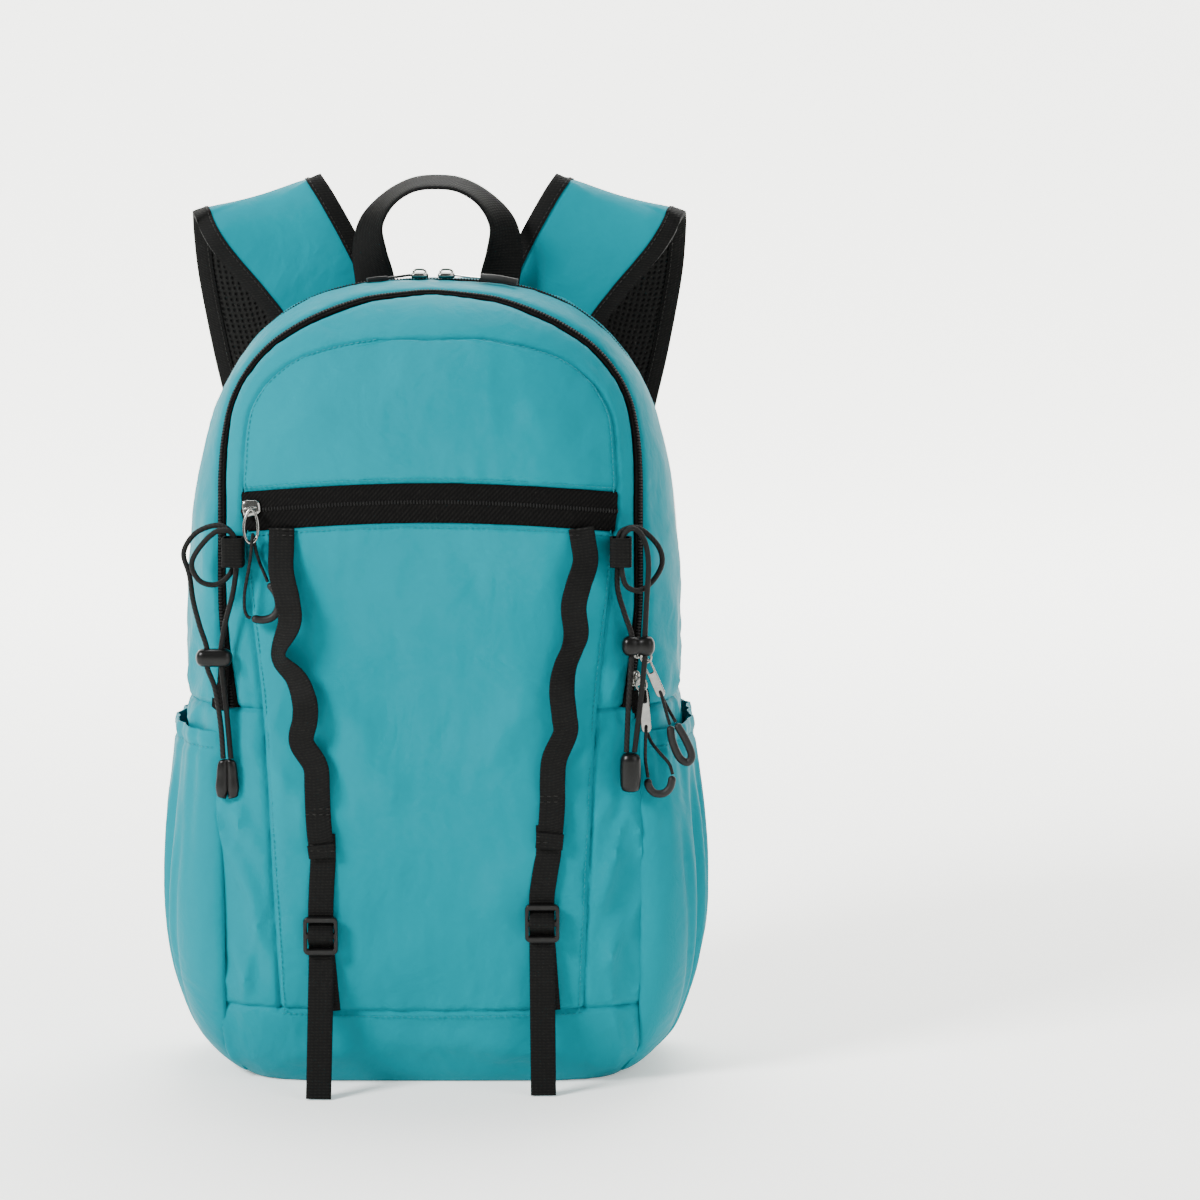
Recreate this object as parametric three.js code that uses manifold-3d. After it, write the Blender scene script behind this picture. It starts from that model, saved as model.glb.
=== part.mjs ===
// A packable daypack, in millimetres. +Z is up, the front faces -Y and the back panel faces +Y.
// The origin is the middle of the base, on the surface that the bag stands on.
import * as THREE from 'three';
import { mergeVertices } from 'three/addons/utils/BufferGeometryUtils.js';
import Module from 'manifold-3d';

// Body shell
const bodyHeight = 445; // surface to the crown of the main compartment
const bodyHalfWidth = 137; // at the widest level
const waistHeight = 255; // level where the body is widest
const baseFlattening = 11; // what the surface presses flat under the bag
const crownPower = 2.8; // squareness of the outline above the waist
const basePower = 6; // squareness of the outline below it
const ridgeY = 15; // depth of the widest outline
const frontDepth = 90; // from the ridge forward to the front panel
const backDepth = 55; // from the ridge back to the back panel
const frontPowerTop = 3; // squareness of the front edge high up
const frontPowerBase = 4.4; // and low down, where the bag is boxier
const backPower = 6; // the back panel is nearly flat
const backSeamShare = 0.93; // back seam, as a share of the outline's radius
const cloth = 2; // wall of coated nylon with its seam allowance
const seamGap = 0.3; // between two pieces sewn or laid together

// Front panel
const frontHalfWidth = 103; // of the front panel at the pocket zip
const crownSeamDrop = 28; // from the crown down to the top of the front panel's arched seam
const crownSeamHeight = bodyHeight - crownSeamDrop;
const baseSeamHeight = 44.5; // seam between the front pocket and the base
const pocketZipTop = 340; // upper edge of the pocket zip band
const pocketZipDrop = 21.5; // height of the band
const zipEndHeight = 215; // where both long zips end on the sides

// Zips
const frontZipOut = 12; // from the front panel's edge out to the front zip
const frontZipHalfWidth = frontHalfWidth + frontZipOut;
const frontZipDrop = 3.5; // from the crown down to the front zip's highest point
const frontZipCrown = bodyHeight - frontZipDrop;
const frontZipTape = 6; // width that shows
const mainZipTape = 7;

// Side pockets
const pocketTop = 201; // gathered hem
const pocketFoot = 5; // lowest edge
const pocketSeamX = 115; // front seam of the side pockets
const pocketBulge = 16; // how far the pocket stands off the body
const pocketBackShare = 0.86; // back seam, as a share of the half width

// Webbing
const webWidth = 14;
const webThick = 1.2;
const anchorOffset = 3; // the anchor shows beside the tail in front of it
const handleWidth = 23;
const handleThick = 2.4;
const handleDrop = 9; // from the crown down to the handle's sewn feet
const handleFoot = bodyHeight - handleDrop;
const handleRise = 62; // feet to the underside of the grip
const handleSpan = 70; // between the feet, middle to middle
const tailEndHeight = 0.6; // free ends above the surface
const gearLoop = 12; // furthest that the gear webbing stands off the panel
const anchorFoot = 2; // sewn ends above the base seam
const hemTuck = 12; // tails reach this far up behind the gear webbing's hem

// Padded shoulder straps
const strapWidth = 76;
const strapThick = 9;
const strapEdge = 3; // thickness of the bound edge
const strapBinding = 9; // width of the edge binding
const sewnTop = 82; // where the lower webbing meets the back panel
const sewnRun = 24; // length of its sewn end
const sewnShare = 0.72; // its place, as a share of the body's half width
const strapWebWidth = 20;

// Elastic cords and pull cords
const elasticDiameter = 3;
const pullCordDiameter = 1.9;
const gripDiameter = 4.4;
const tabOut = { left: 3.6, right: 1.4 }; // how far outside the front panel's edge the webbing tabs are
const tabX = { left: -(frontHalfWidth + tabOut.left), right: frontHalfWidth + tabOut.right };
const tabZ = 302;
const tabHole = 9.4; // room for two runs of cord
const tabReach = { left: 13.7, right: 12.6 }; // how far the tabs stand off the panel
const lockBore = 2.2; // radius of a cord lock's bores
const lockDepth = 9;
const sliderHeight = 3.6;
const bailThick = 2;
const pocketSliderIn = 7.6; // from the left end of the pocket zip
const pocketSliderX = pocketSliderIn - frontHalfWidth;
const sliderSizes = { // width and length
  pocket: { width: 9, length: 10 }, front: { width: 7, length: 9 }, main: { width: 8, length: 10 },
};
const sliderCorner = 2;
const frontSliderZ = { upper: 246, lower: 231 };
const mainSliderX = { left: -8, right: 7 };
const slidersFromRidge = 3.5; // how far behind the ridge they ride
const pullCordSteps = 18;
const gripSteps = 9;

const wasm = await Module();
wasm.setup();

const finishes = {
  nylon: { color: 0x19b4bf, roughness: 0.62, metalness: 0 },
  tape: { color: 0x1d1d1b, roughness: 0.8, metalness: 0 },
  mesh: { color: 0x191918, roughness: 0.9, metalness: 0 },
  plastic: { color: 0x161616, roughness: 0.4, metalness: 0 },
  steel: { color: 0xc9c9c6, roughness: 0.25, metalness: 1 },
  cord: { color: 0x1b1b1b, roughness: 0.7, metalness: 0 },
};

const backpack = new THREE.Group();

function add(name, geometry, finish) {
  const mesh = new THREE.Mesh(geometry, new THREE.MeshStandardMaterial(finishes[finish]));
  mesh.name = name;
  backpack.add(mesh);
}

const clamp01 = (value) => Math.min(1, Math.max(0, value));
const mix = (a, b, t) => a + (b - a) * t;
const smooth = (value) => clamp01(value) ** 2 * (3 - 2 * clamp01(value));
const vector = (x, y, z) => new THREE.Vector3(x, y, z);

// Reads a table row by row: the value of one column at a place in the first column, which rises.
function lookUp(table, key, column, at) {
  if (at <= table[0][key]) return table[0][column];
  for (let i = 1; i < table.length; i++) {
    const low = table[i - 1];
    const high = table[i];
    if (at <= high[key]) return mix(low[column], high[column], (at - low[key]) / (high[key] - low[key]));
  }
  return table[table.length - 1][column];
}

// A closed body from points and triangles, with its faces turned outwards.
function closedBody(points, triangles) {
  const flat = new THREE.BufferGeometry();
  flat.setAttribute('position', new THREE.Float32BufferAttribute(points.flatMap((p) => [p.x, p.y, p.z]), 3));
  flat.setIndex(triangles.flat());
  const merged = mergeVertices(flat, 1e-3);
  const place = merged.getAttribute('position');
  const at = (i) => vector(place.getX(i), place.getY(i), place.getZ(i));
  const index = merged.getIndex().array;
  const kept = [];
  let volume = 0;
  for (let i = 0; i < index.length; i += 3) {
    const [a, b, c] = [index[i], index[i + 1], index[i + 2]];
    if (a === b || b === c || c === a) continue;
    kept.push([a, b, c]);
    volume += at(a).dot(at(b).cross(at(c)));
  }
  merged.setIndex(kept.flatMap(([a, b, c]) => (volume < 0 ? [a, c, b] : [a, b, c])));
  return merged;
}

// Joins or cuts closed bodies.
function toSolid(geometry) {
  const bare = geometry.clone();
  bare.deleteAttribute('normal');
  bare.deleteAttribute('uv');
  const merged = mergeVertices(bare, 1e-3);
  return new wasm.Manifold(new wasm.Mesh({
    numProp: 3,
    vertProperties: new Float32Array(merged.getAttribute('position').array),
    triVerts: new Uint32Array(merged.getIndex().array),
  }));
}

function fromSolid(solid) {
  const mesh = solid.getMesh();
  const geometry = new THREE.BufferGeometry();
  geometry.setAttribute('position', new THREE.BufferAttribute(new Float32Array(mesh.vertProperties), 3));
  geometry.setIndex([...mesh.triVerts]);
  return geometry;
}

function join(...geometries) {
  return fromSolid(geometries.map(toSolid).reduce((whole, piece) => whole.add(piece)));
}

function moved(geometry, x, y, z, turnX = 0, turnY = 0, turnZ = 0) {
  const turn = new THREE.Matrix4().makeRotationFromEuler(new THREE.Euler(turnX, turnY, turnZ, 'ZYX'));
  return geometry.clone().applyMatrix4(turn).translate(x, y, z);
}

// A body through closed rings of points, with flat ends.
function loft(rings) {
  const count = rings[0].length;
  const points = rings.flat();
  const triangles = [];
  for (let i = 0; i + 1 < rings.length; i++) {
    for (let j = 0; j < count; j++) {
      const a = i * count + j;
      const b = i * count + (j + 1) % count;
      triangles.push([a, b, b + count], [a, b + count, a + count]);
    }
  }
  for (const [start, turn] of [[0, -1], [(rings.length - 1) * count, 1]]) {
    const middle = points.length;
    const ring = points.slice(start, start + count);
    points.push(ring.reduce((sum, p) => sum.add(p), vector(0, 0, 0)).divideScalar(count));
    for (let j = 0; j < count; j++) {
      const a = start + j;
      const b = start + (j + 1) % count;
      triangles.push(turn > 0 ? [middle, a, b] : [middle, b, a]);
    }
  }
  return closedBody(points, triangles);
}

// A flat band along stations: its middle, its width direction, its width and its thickness.
function ribbon(stations) {
  return loft(stations.map(({ middle, across, width, thick }, i) => {
    const before = stations[Math.max(i - 1, 0)].middle;
    const after = stations[Math.min(i + 1, stations.length - 1)].middle;
    const along = after.clone().sub(before).normalize();
    const side = across.clone().addScaledVector(along, -across.dot(along)).normalize();
    const out = along.clone().cross(side).normalize();
    const corner = (u, v) => middle.clone().addScaledVector(side, u * width).addScaledVector(out, v * thick);
    return [corner(-0.5, -0.5), corner(0.5, -0.5), corner(0.5, 0.5), corner(-0.5, 0.5)];
  }));
}

function tube(points, diameter, sides, steps) {
  const section = new THREE.Shape();
  for (let i = 0; i < sides; i++) {
    const angle = (2 * Math.PI * i) / sides;
    const [x, y] = [Math.cos(angle) * diameter / 2, Math.sin(angle) * diameter / 2];
    if (i === 0) section.moveTo(x, y);
    else section.lineTo(x, y);
  }
  const path = new THREE.CatmullRomCurve3(points, false, 'centripetal');
  return new THREE.ExtrudeGeometry(section, { steps, extrudePath: path, curveSegments: 1 });
}

function slab(outline, depth, holes = []) {
  const shape = new THREE.Shape(outline.map(([x, y]) => new THREE.Vector2(x, y)));
  for (const hole of holes) shape.holes.push(new THREE.Path(hole.map(([x, y]) => new THREE.Vector2(x, y))));
  return new THREE.ExtrudeGeometry(shape, { depth, bevelEnabled: false }).translate(0, 0, -depth / 2);
}

const rectangle = (width, height, y = 0) => [
  [-width / 2, y - height / 2], [width / 2, y - height / 2],
  [width / 2, y + height / 2], [-width / 2, y + height / 2],
];

function rounded(width, height, corner) {
  const [x, y] = [width / 2, height / 2];
  return [
    [-x + corner, -y], [x - corner, -y], [x, -y + corner], [x, y - corner],
    [x - corner, y], [-x + corner, y], [-x, y - corner], [-x, -y + corner],
  ];
}

// The body's outer surface. Its outline is 1 on this gauge, and the middle of the bag is 0.
const crownRise = bodyHeight - waistHeight;
const baseFall = waistHeight + baseFlattening;

function outlineGauge(x, z) {
  const rise = z - waistHeight;
  const power = rise > 0 ? crownPower : basePower;
  const reach = rise > 0 ? crownRise : baseFall;
  return ((Math.abs(x) / bodyHalfWidth) ** power + (Math.abs(rise) / reach) ** power) ** (1 / power);
}

function halfWidthAt(z) {
  const rise = z - waistHeight;
  const power = rise > 0 ? crownPower : basePower;
  const share = Math.abs(rise) / (rise > 0 ? crownRise : baseFall);
  return bodyHalfWidth * Math.max(0, 1 - share ** power) ** (1 / power);
}

// Broad dents of the soft cloth, placed by shares of the half width and of the height.
const dents = [
  { side: -0.72, level: 0.4, spreadX: 0.09, spreadZ: 0.1, depth: 2.2 },
  { side: 0.72, level: 0.38, spreadX: 0.09, spreadZ: 0.12, depth: 2.4 },
  { side: -0.1, level: 0.5, spreadX: 0.3, spreadZ: 0.08, depth: 1.5 },
  { side: 0.28, level: 0.62, spreadX: 0.2, spreadZ: 0.05, depth: 1.2 },
  { side: -0.78, level: 0.22, spreadX: 0.08, spreadZ: 0.1, depth: 2 },
  { side: 0.8, level: 0.2, spreadX: 0.08, spreadZ: 0.1, depth: 2 },
];

function dentAt(x, z) {
  return dents.reduce((sum, dent) => {
    const across = (x / bodyHalfWidth - dent.side) / dent.spreadX;
    const along = (z / bodyHeight - dent.level) / dent.spreadZ;
    return sum + dent.depth * Math.exp(-across * across - along * along);
  }, 0);
}

function frontPower(z) {
  return mix(frontPowerTop, frontPowerBase, smooth((0.7 * bodyHeight - z) / (0.58 * bodyHeight)));
}

// A point of the surface and its outward direction, from its place in the front view.
function skin(x, z, facing) {
  const gauge = Math.min(outlineGauge(x, z), 1);
  const front = facing === 'front';
  const power = front ? frontPower(z) : backPower;
  const depth = front ? frontDepth : backDepth;
  const sign = front ? -1 : 1;
  const swell = Math.max(0, 1 - gauge ** power) ** (1 / power);
  const rise = z - waistHeight;
  const outlinePower = rise > 0 ? crownPower : basePower;
  const reach = rise > 0 ? crownRise : baseFall;
  const slope = power * gauge ** (power - 1) * Math.max(gauge, 1e-6) ** (1 - outlinePower);
  const out = vector(
    Math.sign(x) * slope * (Math.abs(x) / bodyHalfWidth) ** (outlinePower - 1) / bodyHalfWidth,
    sign * power * swell ** (power - 1) / depth,
    Math.sign(rise) * slope * (Math.abs(rise) / reach) ** (outlinePower - 1) / reach,
  ).normalize();
  const point = vector(x, ridgeY + sign * depth * swell, z);
  if (front) point.addScaledVector(out, -dentAt(x, z));
  if (point.z < 0) {
    point.z = 0;
    out.set(0, 0, -1);
  }
  return { point, out };
}

// Front panel: rows from the crown down. halfWidth is a share of frontHalfWidth.
const seamToZip = crownSeamHeight - pocketZipTop;
const zipToBase = pocketZipTop - pocketZipDrop - baseSeamHeight;
const upperRows = [
  { fall: 0, halfWidth: 0.28, sag: 0.6 },
  { fall: 0.06, halfWidth: 0.505, sag: 0 },
  { fall: 0.145, halfWidth: 0.704, sag: 0 },
  { fall: 0.26, halfWidth: 0.83, sag: 0 },
  { fall: 0.39, halfWidth: 0.913, sag: 0 },
  { fall: 0.54, halfWidth: 0.967, sag: 0 },
  { fall: 0.71, halfWidth: 0.989, sag: 2.5 },
  { fall: 1, halfWidth: 1, sag: 6.5 },
];
const pocketRows = [
  { fall: 0, halfWidth: 0.985, sag: 6.5 },
  { fall: 0.12, halfWidth: 0.964, sag: 3 },
  { fall: 0.25, halfWidth: 0.93, sag: 0 },
  { fall: 1 - (zipEndHeight - baseSeamHeight) / zipToBase, halfWidth: 0.895, sag: 0 },
  { fall: 0.5, halfWidth: 0.876, sag: 0 },
  { fall: 0.64, halfWidth: 0.858, sag: 0 },
  { fall: 0.78, halfWidth: 0.84, sag: 0 },
  { fall: 0.9, halfWidth: 0.826, sag: 0 },
  { fall: 1, halfWidth: 0.816, sag: -2 },
];
const frontRows = [
  ...upperRows.map((row) => ({ ...row, z: crownSeamHeight - row.fall * seamToZip })),
  ...pocketRows.map((row) => ({ ...row, z: pocketZipTop - pocketZipDrop - row.fall * zipToBase })),
];
const frontColumns = 10;
const seamPlace = (i, j) => {
  const { z, halfWidth, sag } = frontRows[i];
  const share = (2 * j) / frontColumns - 1;
  return [share * halfWidth * frontHalfWidth, z - sag * share * share];
};
const frontGrid = frontRows.map((_, i) => (
  Array.from({ length: frontColumns + 1 }, (__, j) => skin(...seamPlace(i, j), 'front'))
));

const seamOrder = vector(0.11, 1, 0.37); // any slanted direction sorts the ends of a seam's steps

// A sewn plate: two layers of a grid of surface points, a gap smaller all round than its place.
function plate(grid, wall = cloth) {
  const rows = grid.length;
  const columns = grid[0].length;
  const outer = grid.map((row) => row.map(({ point }) => point.clone()));
  const pull = (target, towards, before, after) => {
    const way = towards.clone().sub(target);
    const along = after.clone().sub(before);
    if (along.length() > 1e-6) way.addScaledVector(along.normalize(), -way.dot(along));
    if (way.length() > 1e-6) target.addScaledVector(way.normalize(), seamGap / 2);
  };
  const within = (value, count) => Math.min(Math.max(value, 0), count - 1);
  const spot = (i, j) => grid[within(i, rows)][within(j, columns)].point;
  for (let j = 0; j < columns; j++) {
    pull(outer[0][j], spot(1, j), spot(0, j - 1), spot(0, j + 1));
    pull(outer[rows - 1][j], spot(rows - 2, j), spot(rows - 1, j - 1), spot(rows - 1, j + 1));
  }
  for (let i = 0; i < rows; i++) {
    pull(outer[i][0], spot(i, 1), spot(i - 1, 0), spot(i + 1, 0));
    pull(outer[i][columns - 1], spot(i, columns - 2), spot(i - 1, columns - 1), spot(i + 1, columns - 1));
  }
  const inner = outer.map((row, i) => row.map((point, j) => {
    const place = point.clone().addScaledVector(grid[i][j].out, -wall);
    place.z = Math.max(place.z, wall);
    return place;
  }));
  const points = [...outer.flat(), ...inner.flat()];
  const layer = rows * columns;
  const triangles = [];
  for (let i = 0; i + 1 < rows; i++) {
    for (let j = 0; j + 1 < columns; j++) {
      const a = i * columns + j;
      const [b, c, d] = [a + 1, a + columns + 1, a + columns];
      triangles.push([a, b, c], [a, c, d]);
      triangles.push([a + layer, c + layer, b + layer], [a + layer, d + layer, c + layer]);
    }
  }
  const edge = [];
  for (let j = 0; j + 1 < columns; j++) {
    const last = (rows - 1) * columns + j;
    edge.push([j + 1, j], [last, last + 1]);
  }
  for (let i = 0; i + 1 < rows; i++) {
    edge.push([i * columns, (i + 1) * columns], [(i + 2) * columns - 1, (i + 1) * columns - 1]);
  }
  // Plates that share a seam split its side faces along the same diagonals, so that they stay apart.
  const order = (i) => points[i].dot(seamOrder);
  for (const [a, b] of edge) {
    if (order(a) < order(b)) triangles.push([a, b, b + layer], [a, b + layer, a + layer]);
    else triangles.push([a, b, a + layer], [b, b + layer, a + layer]);
  }
  return closedBody(points, triangles);
}

const bandRow = upperRows.length - 1;
add('front_upper_panel', plate(frontGrid.slice(0, bandRow + 1)), 'nylon');
add('pocket_zip', plate(frontGrid.slice(bandRow, bandRow + 2)), 'tape');
add('front_pocket_panel', plate(frontGrid.slice(bandRow + 1)), 'nylon');

// Wrap: columns run from the front panel's seam out over the widest outline to the back seam.
// Low columns lie level, those above the spring line fan out from it, and the base's run down.
const springHeight = 0.75 * bodyHeight;
const baseSpread = 0.3; // outward lean of the base's outermost columns
const fanSteps = 3;

function column(start, way) {
  const at = (t) => [start[0] + way[0] * t, start[1] + way[1] * t];
  let [low, high] = [0, 4 * bodyHeight / Math.hypot(...way)];
  for (let k = 0; k < 50; k++) {
    const middle = (low + high) / 2;
    if (outlineGauge(...at(middle)) < 1) low = middle;
    else high = middle;
  }
  const rim = at(low);
  const back = [rim[0] * backSeamShare, mix(waistHeight, rim[1], backSeamShare)];
  return { start, rim, back };
}

const lastRow = frontRows.length - 1;
const wrapColumns = [];
const sideWay = ([x, z]) => (z <= springHeight ? [Math.sign(x), 0] : [x, z - springHeight]);
for (let i = lastRow; i >= 0; i--) wrapColumns.push(column(seamPlace(i, 0), sideWay(seamPlace(i, 0))));
for (let j = 1; j < frontColumns; j++) {
  const place = seamPlace(0, j);
  wrapColumns.push(column(place, [place[0], place[1] - springHeight]));
}
for (let i = 0; i <= lastRow; i++) {
  const place = seamPlace(i, frontColumns);
  wrapColumns.push(column(place, sideWay(place)));
}
const rightCorner = wrapColumns.length - 1;
const fanAngle = Math.PI - Math.atan(baseSpread) - Math.PI / 2;
for (let k = 1; k <= fanSteps; k++) {
  const angle = (-fanAngle * k) / (fanSteps + 1);
  wrapColumns.push(column(seamPlace(lastRow, frontColumns), [Math.cos(angle), Math.sin(angle)]));
}
for (let j = frontColumns; j >= 0; j--) {
  const place = seamPlace(lastRow, j);
  wrapColumns.push(column(place, [baseSpread * ((2 * j) / frontColumns - 1), -1]));
}
for (let k = fanSteps; k >= 1; k--) {
  const angle = (fanAngle * k) / (fanSteps + 1) - Math.PI;
  wrapColumns.push(column(seamPlace(lastRow, 0), [Math.cos(angle), Math.sin(angle)]));
}

// Outline of the front compartment zip: rise above the spring line against half width.
const zipOutline = [
  { fall: 0, halfWidth: 0 },
  { fall: 0.008, halfWidth: 0.3 },
  { fall: 0.02, halfWidth: 0.45 },
  { fall: 0.038, halfWidth: 0.61 },
  { fall: 0.063, halfWidth: 0.757 },
  { fall: 0.085, halfWidth: 0.843 },
  { fall: 0.111, halfWidth: 0.913 },
  { fall: 0.138, halfWidth: 0.96 },
  { fall: 0.172, halfWidth: 0.987 },
  { fall: 0.21, halfWidth: 1 },
  { fall: 0.39, halfWidth: 1 },
  { fall: 0.45, halfWidth: 0.98 },
  { fall: 0.51, halfWidth: 0.945 },
  { fall: 1, halfWidth: 0.9 },
];
const zipHalfWidthAt = (z) => frontZipHalfWidth
  * lookUp(zipOutline, 'fall', 'halfWidth', (frontZipCrown - z) / frontZipCrown);

// Points at given lengths along a path of surface points.
function walk(path, lengths) {
  const sums = [0];
  for (let i = 1; i < path.length; i++) sums.push(sums[i - 1] + path[i].point.distanceTo(path[i - 1].point));
  return lengths(sums[sums.length - 1], sums).map((length) => {
    let i = 1;
    while (i < path.length - 1 && sums[i] < length) i++;
    const t = clamp01((length - sums[i - 1]) / Math.max(sums[i] - sums[i - 1], 1e-9));
    return {
      point: path[i - 1].point.clone().lerp(path[i].point, t),
      out: path[i - 1].out.clone().lerp(path[i].out, t).normalize(),
    };
  });
}

const pathSamples = 120;
function pathOn(from, to, facing) {
  return Array.from({ length: pathSamples + 1 }, (_, k) => {
    const u = k / pathSamples;
    const t = facing === 'front' ? 1 - (1 - u) ** 3 : u ** 3;
    return skin(mix(from[0], to[0], t), mix(from[1], to[1], t), facing);
  });
}

function wrapPoints({ start, rim, back }) {
  const ahead = pathOn(start, rim, 'front');
  const behind = pathOn(rim, back, 'back');
  const level = start[1] > baseSeamHeight + 4;
  const outside = ({ point }) => Math.abs(point.x) > zipHalfWidthAt(point.z) || point.z > frontZipCrown;
  const crossing = ahead.findIndex(outside);
  return [
    ...walk(ahead, (total, sums) => {
      const zip = level && crossing > 0 ? sums[crossing] : 0.42 * total;
      const edge = Math.min(zip + frontZipTape / 2, total - 3);
      return [0, (edge - frontZipTape) / 2, edge - frontZipTape, edge, mix(edge, total, 0.5), total];
    }),
    ...walk(behind, (total) => [mainZipTape, mix(mainZipTape, total, 0.5), total]),
  ];
}

const wrapGrid = wrapColumns.map(wrapPoints);
const wrapPlate = (firstColumn, lastColumn, firstLine, lastLine) => plate(
  Array.from({ length: lastColumn - firstColumn + 1 }, (_, k) => wrapGrid[(firstColumn + k) % wrapGrid.length]
    .slice(firstLine, lastLine + 1)),
);
const zipRow = frontRows.findIndex(({ z }) => Math.abs(z - zipEndHeight) < 1);
const leftZipEnd = lastRow - zipRow;
const rightZipEnd = rightCorner - leftZipEnd;
const lines = { seam: 0, zipFront: 2, zipBack: 3, ridge: 5, mainZipBack: 6, backSeam: 8 };
add('front_gusset', wrapPlate(leftZipEnd, rightZipEnd, lines.seam, lines.zipFront), 'nylon');
add('front_zip', wrapPlate(leftZipEnd, rightZipEnd, lines.zipFront, lines.zipBack), 'tape');
add('middle_gusset', wrapPlate(leftZipEnd, rightZipEnd, lines.zipBack, lines.ridge), 'nylon');
add('main_zip', wrapPlate(leftZipEnd, rightZipEnd, lines.ridge, lines.mainZipBack), 'tape');
add('rear_gusset', wrapPlate(leftZipEnd, rightZipEnd, lines.mainZipBack, lines.backSeam), 'nylon');
add('side_panel_left', wrapPlate(0, leftZipEnd, lines.seam, lines.backSeam), 'nylon');
add('side_panel_right', wrapPlate(rightZipEnd, rightCorner, lines.seam, lines.backSeam), 'nylon');
add('base_panel', wrapPlate(rightCorner, wrapGrid.length, lines.seam, lines.backSeam), 'nylon');

// Back panel: rings from the back seam in to one middle point.
function backPanel() {
  const ringShares = [1, 0.8, 0.45];
  const rim = wrapColumns.map(({ back }) => back);
  const outer = ringShares.map((share, k) => rim.map(([x, z]) => {
    const inset = k === 0 ? 1 - seamGap / bodyHalfWidth : 1;
    return skin(x * share * inset, mix(waistHeight, z, share * inset), 'back');
  }));
  const layers = [0, cloth].map((depth) => [
    ...outer.flat().map(({ point, out }) => point.clone().addScaledVector(out, -depth)),
    vector(0, ridgeY + backDepth - depth, waistHeight),
  ]);
  const count = rim.length;
  const middle = count * ringShares.length;
  const size = middle + 1;
  const triangles = [];
  for (let j = 0; j < count; j++) {
    const next = (j + 1) % count;
    for (let i = 0; i + 1 < ringShares.length; i++) {
      const [a, b, c, d] = [i * count + j, i * count + next, (i + 1) * count + next, (i + 1) * count + j];
      triangles.push([a, b, c], [a, c, d], [a + size, c + size, b + size], [a + size, d + size, c + size]);
    }
    const last = (ringShares.length - 1) * count;
    triangles.push([last + j, last + next, middle], [last + j + size, middle + size, last + next + size]);
    triangles.push([next, j, j + size], [next, j + size, next + size]);
  }
  return closedBody(layers.flat(), triangles);
}
add('back_panel', backPanel(), 'mesh');

// Side pockets: one curved sheet each, open at its gathered hem. level is a share of the height
// between foot and hem, bulge a share of pocketBulge.
const pocketRowsTable = [
  { level: 0, bulge: 0.03 },
  { level: 0.04, bulge: 0.3 },
  { level: 0.1, bulge: 0.55 },
  { level: 0.18, bulge: 0.7 },
  { level: 0.29, bulge: 0.88 },
  { level: 0.43, bulge: 1 },
  { level: 0.58, bulge: 0.96 },
  { level: 0.74, bulge: 0.8 },
  { level: 0.86, bulge: 0.58 },
  { level: 0.94, bulge: 0.45 },
  { level: 1, bulge: 0.38 },
];
const pocketLines = 12;
const pocketPleat = 1.2; // depth of the gathers below the hem

function sidePocket(side) {
  const grid = pocketRowsTable.map(({ level, bulge }) => {
    const z = mix(pocketFoot, pocketTop, level);
    const rim = halfWidthAt(z);
    const seam = Math.min(pocketSeamX, 0.93 * rim);
    const path = [
      ...pathOn([side * seam, z], [side * rim, z], 'front'),
      ...pathOn([side * rim, z], [side * rim * pocketBackShare, z], 'back').slice(1),
    ];
    const lengths = (total) => Array.from({ length: pocketLines + 1 }, (_, k) => (total * k) / pocketLines);
    return walk(path, lengths).map(({ point, out }, k) => {
      const share = k / pocketLines;
      const swell = Math.sin(Math.PI * share) ** 0.6;
      const gather = pocketPleat * level * level * (k % 2) * (k > 0 && k < pocketLines ? 1 : 0);
      const lift = seamGap + cloth + (bulge * pocketBulge - gather) * swell;
      const place = point.clone().addScaledVector(out, Math.max(lift, seamGap + cloth));
      place.z = Math.max(place.z, 0);
      return { point: place, out };
    });
  });
  return plate(grid);
}
add('side_pocket_left', sidePocket(-1), 'nylon');
add('side_pocket_right', sidePocket(1), 'nylon');

// Grab handle: webbing that stands face on at its feet and turns edge on over the grip. rise is a
// share of handleRise, spread of half the span, and turn of a quarter turn of the webbing.
const handleHalf = [
  { rise: -0.24, spread: 1, turn: 0, back: 0 },
  { rise: -0.08, spread: 1, turn: 0, back: 0 },
  { rise: 0.1, spread: 1.02, turn: 0.06, back: 0 },
  { rise: 0.36, spread: 1.1, turn: 0.3, back: -0.02 },
  { rise: 0.62, spread: 1.06, turn: 0.6, back: -0.05 },
  { rise: 0.84, spread: 0.78, turn: 0.84, back: -0.08 },
  { rise: 0.97, spread: 0.4, turn: 0.95, back: -0.1 },
  { rise: 1, spread: 0, turn: 1, back: -0.1 },
];

function grabHandle() {
  const lean = 0.45; // the grip's front edge hangs lower than its back edge
  const half = handleHalf.map(({ rise, spread, turn, back }) => {
    const x = (spread * handleSpan) / 2;
    const z = handleFoot + rise * handleRise;
    const restZ = Math.min(z, handleFoot - 0.08 * handleRise);
    const rest = skin(Math.max(x - handleWidth / 2, 0), restZ, 'back').point.y;
    const angle = (turn * Math.PI) / 2;
    return {
      middle: vector(x, rest + 2 * seamGap + handleThick / 2 + back * handleRise, z),
      across: vector(Math.cos(angle), Math.sin(angle), lean * Math.sin(angle)),
      width: handleWidth,
      thick: handleThick,
    };
  });
  const other = half.slice(0, -1).reverse().map((station) => ({
    ...station,
    middle: vector(-station.middle.x, station.middle.y, station.middle.z),
    across: vector(-station.across.x, station.across.y, station.across.z),
  }));
  return ribbon([...half, ...other]);
}
add('grab_handle', grabHandle(), 'tape');

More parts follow.
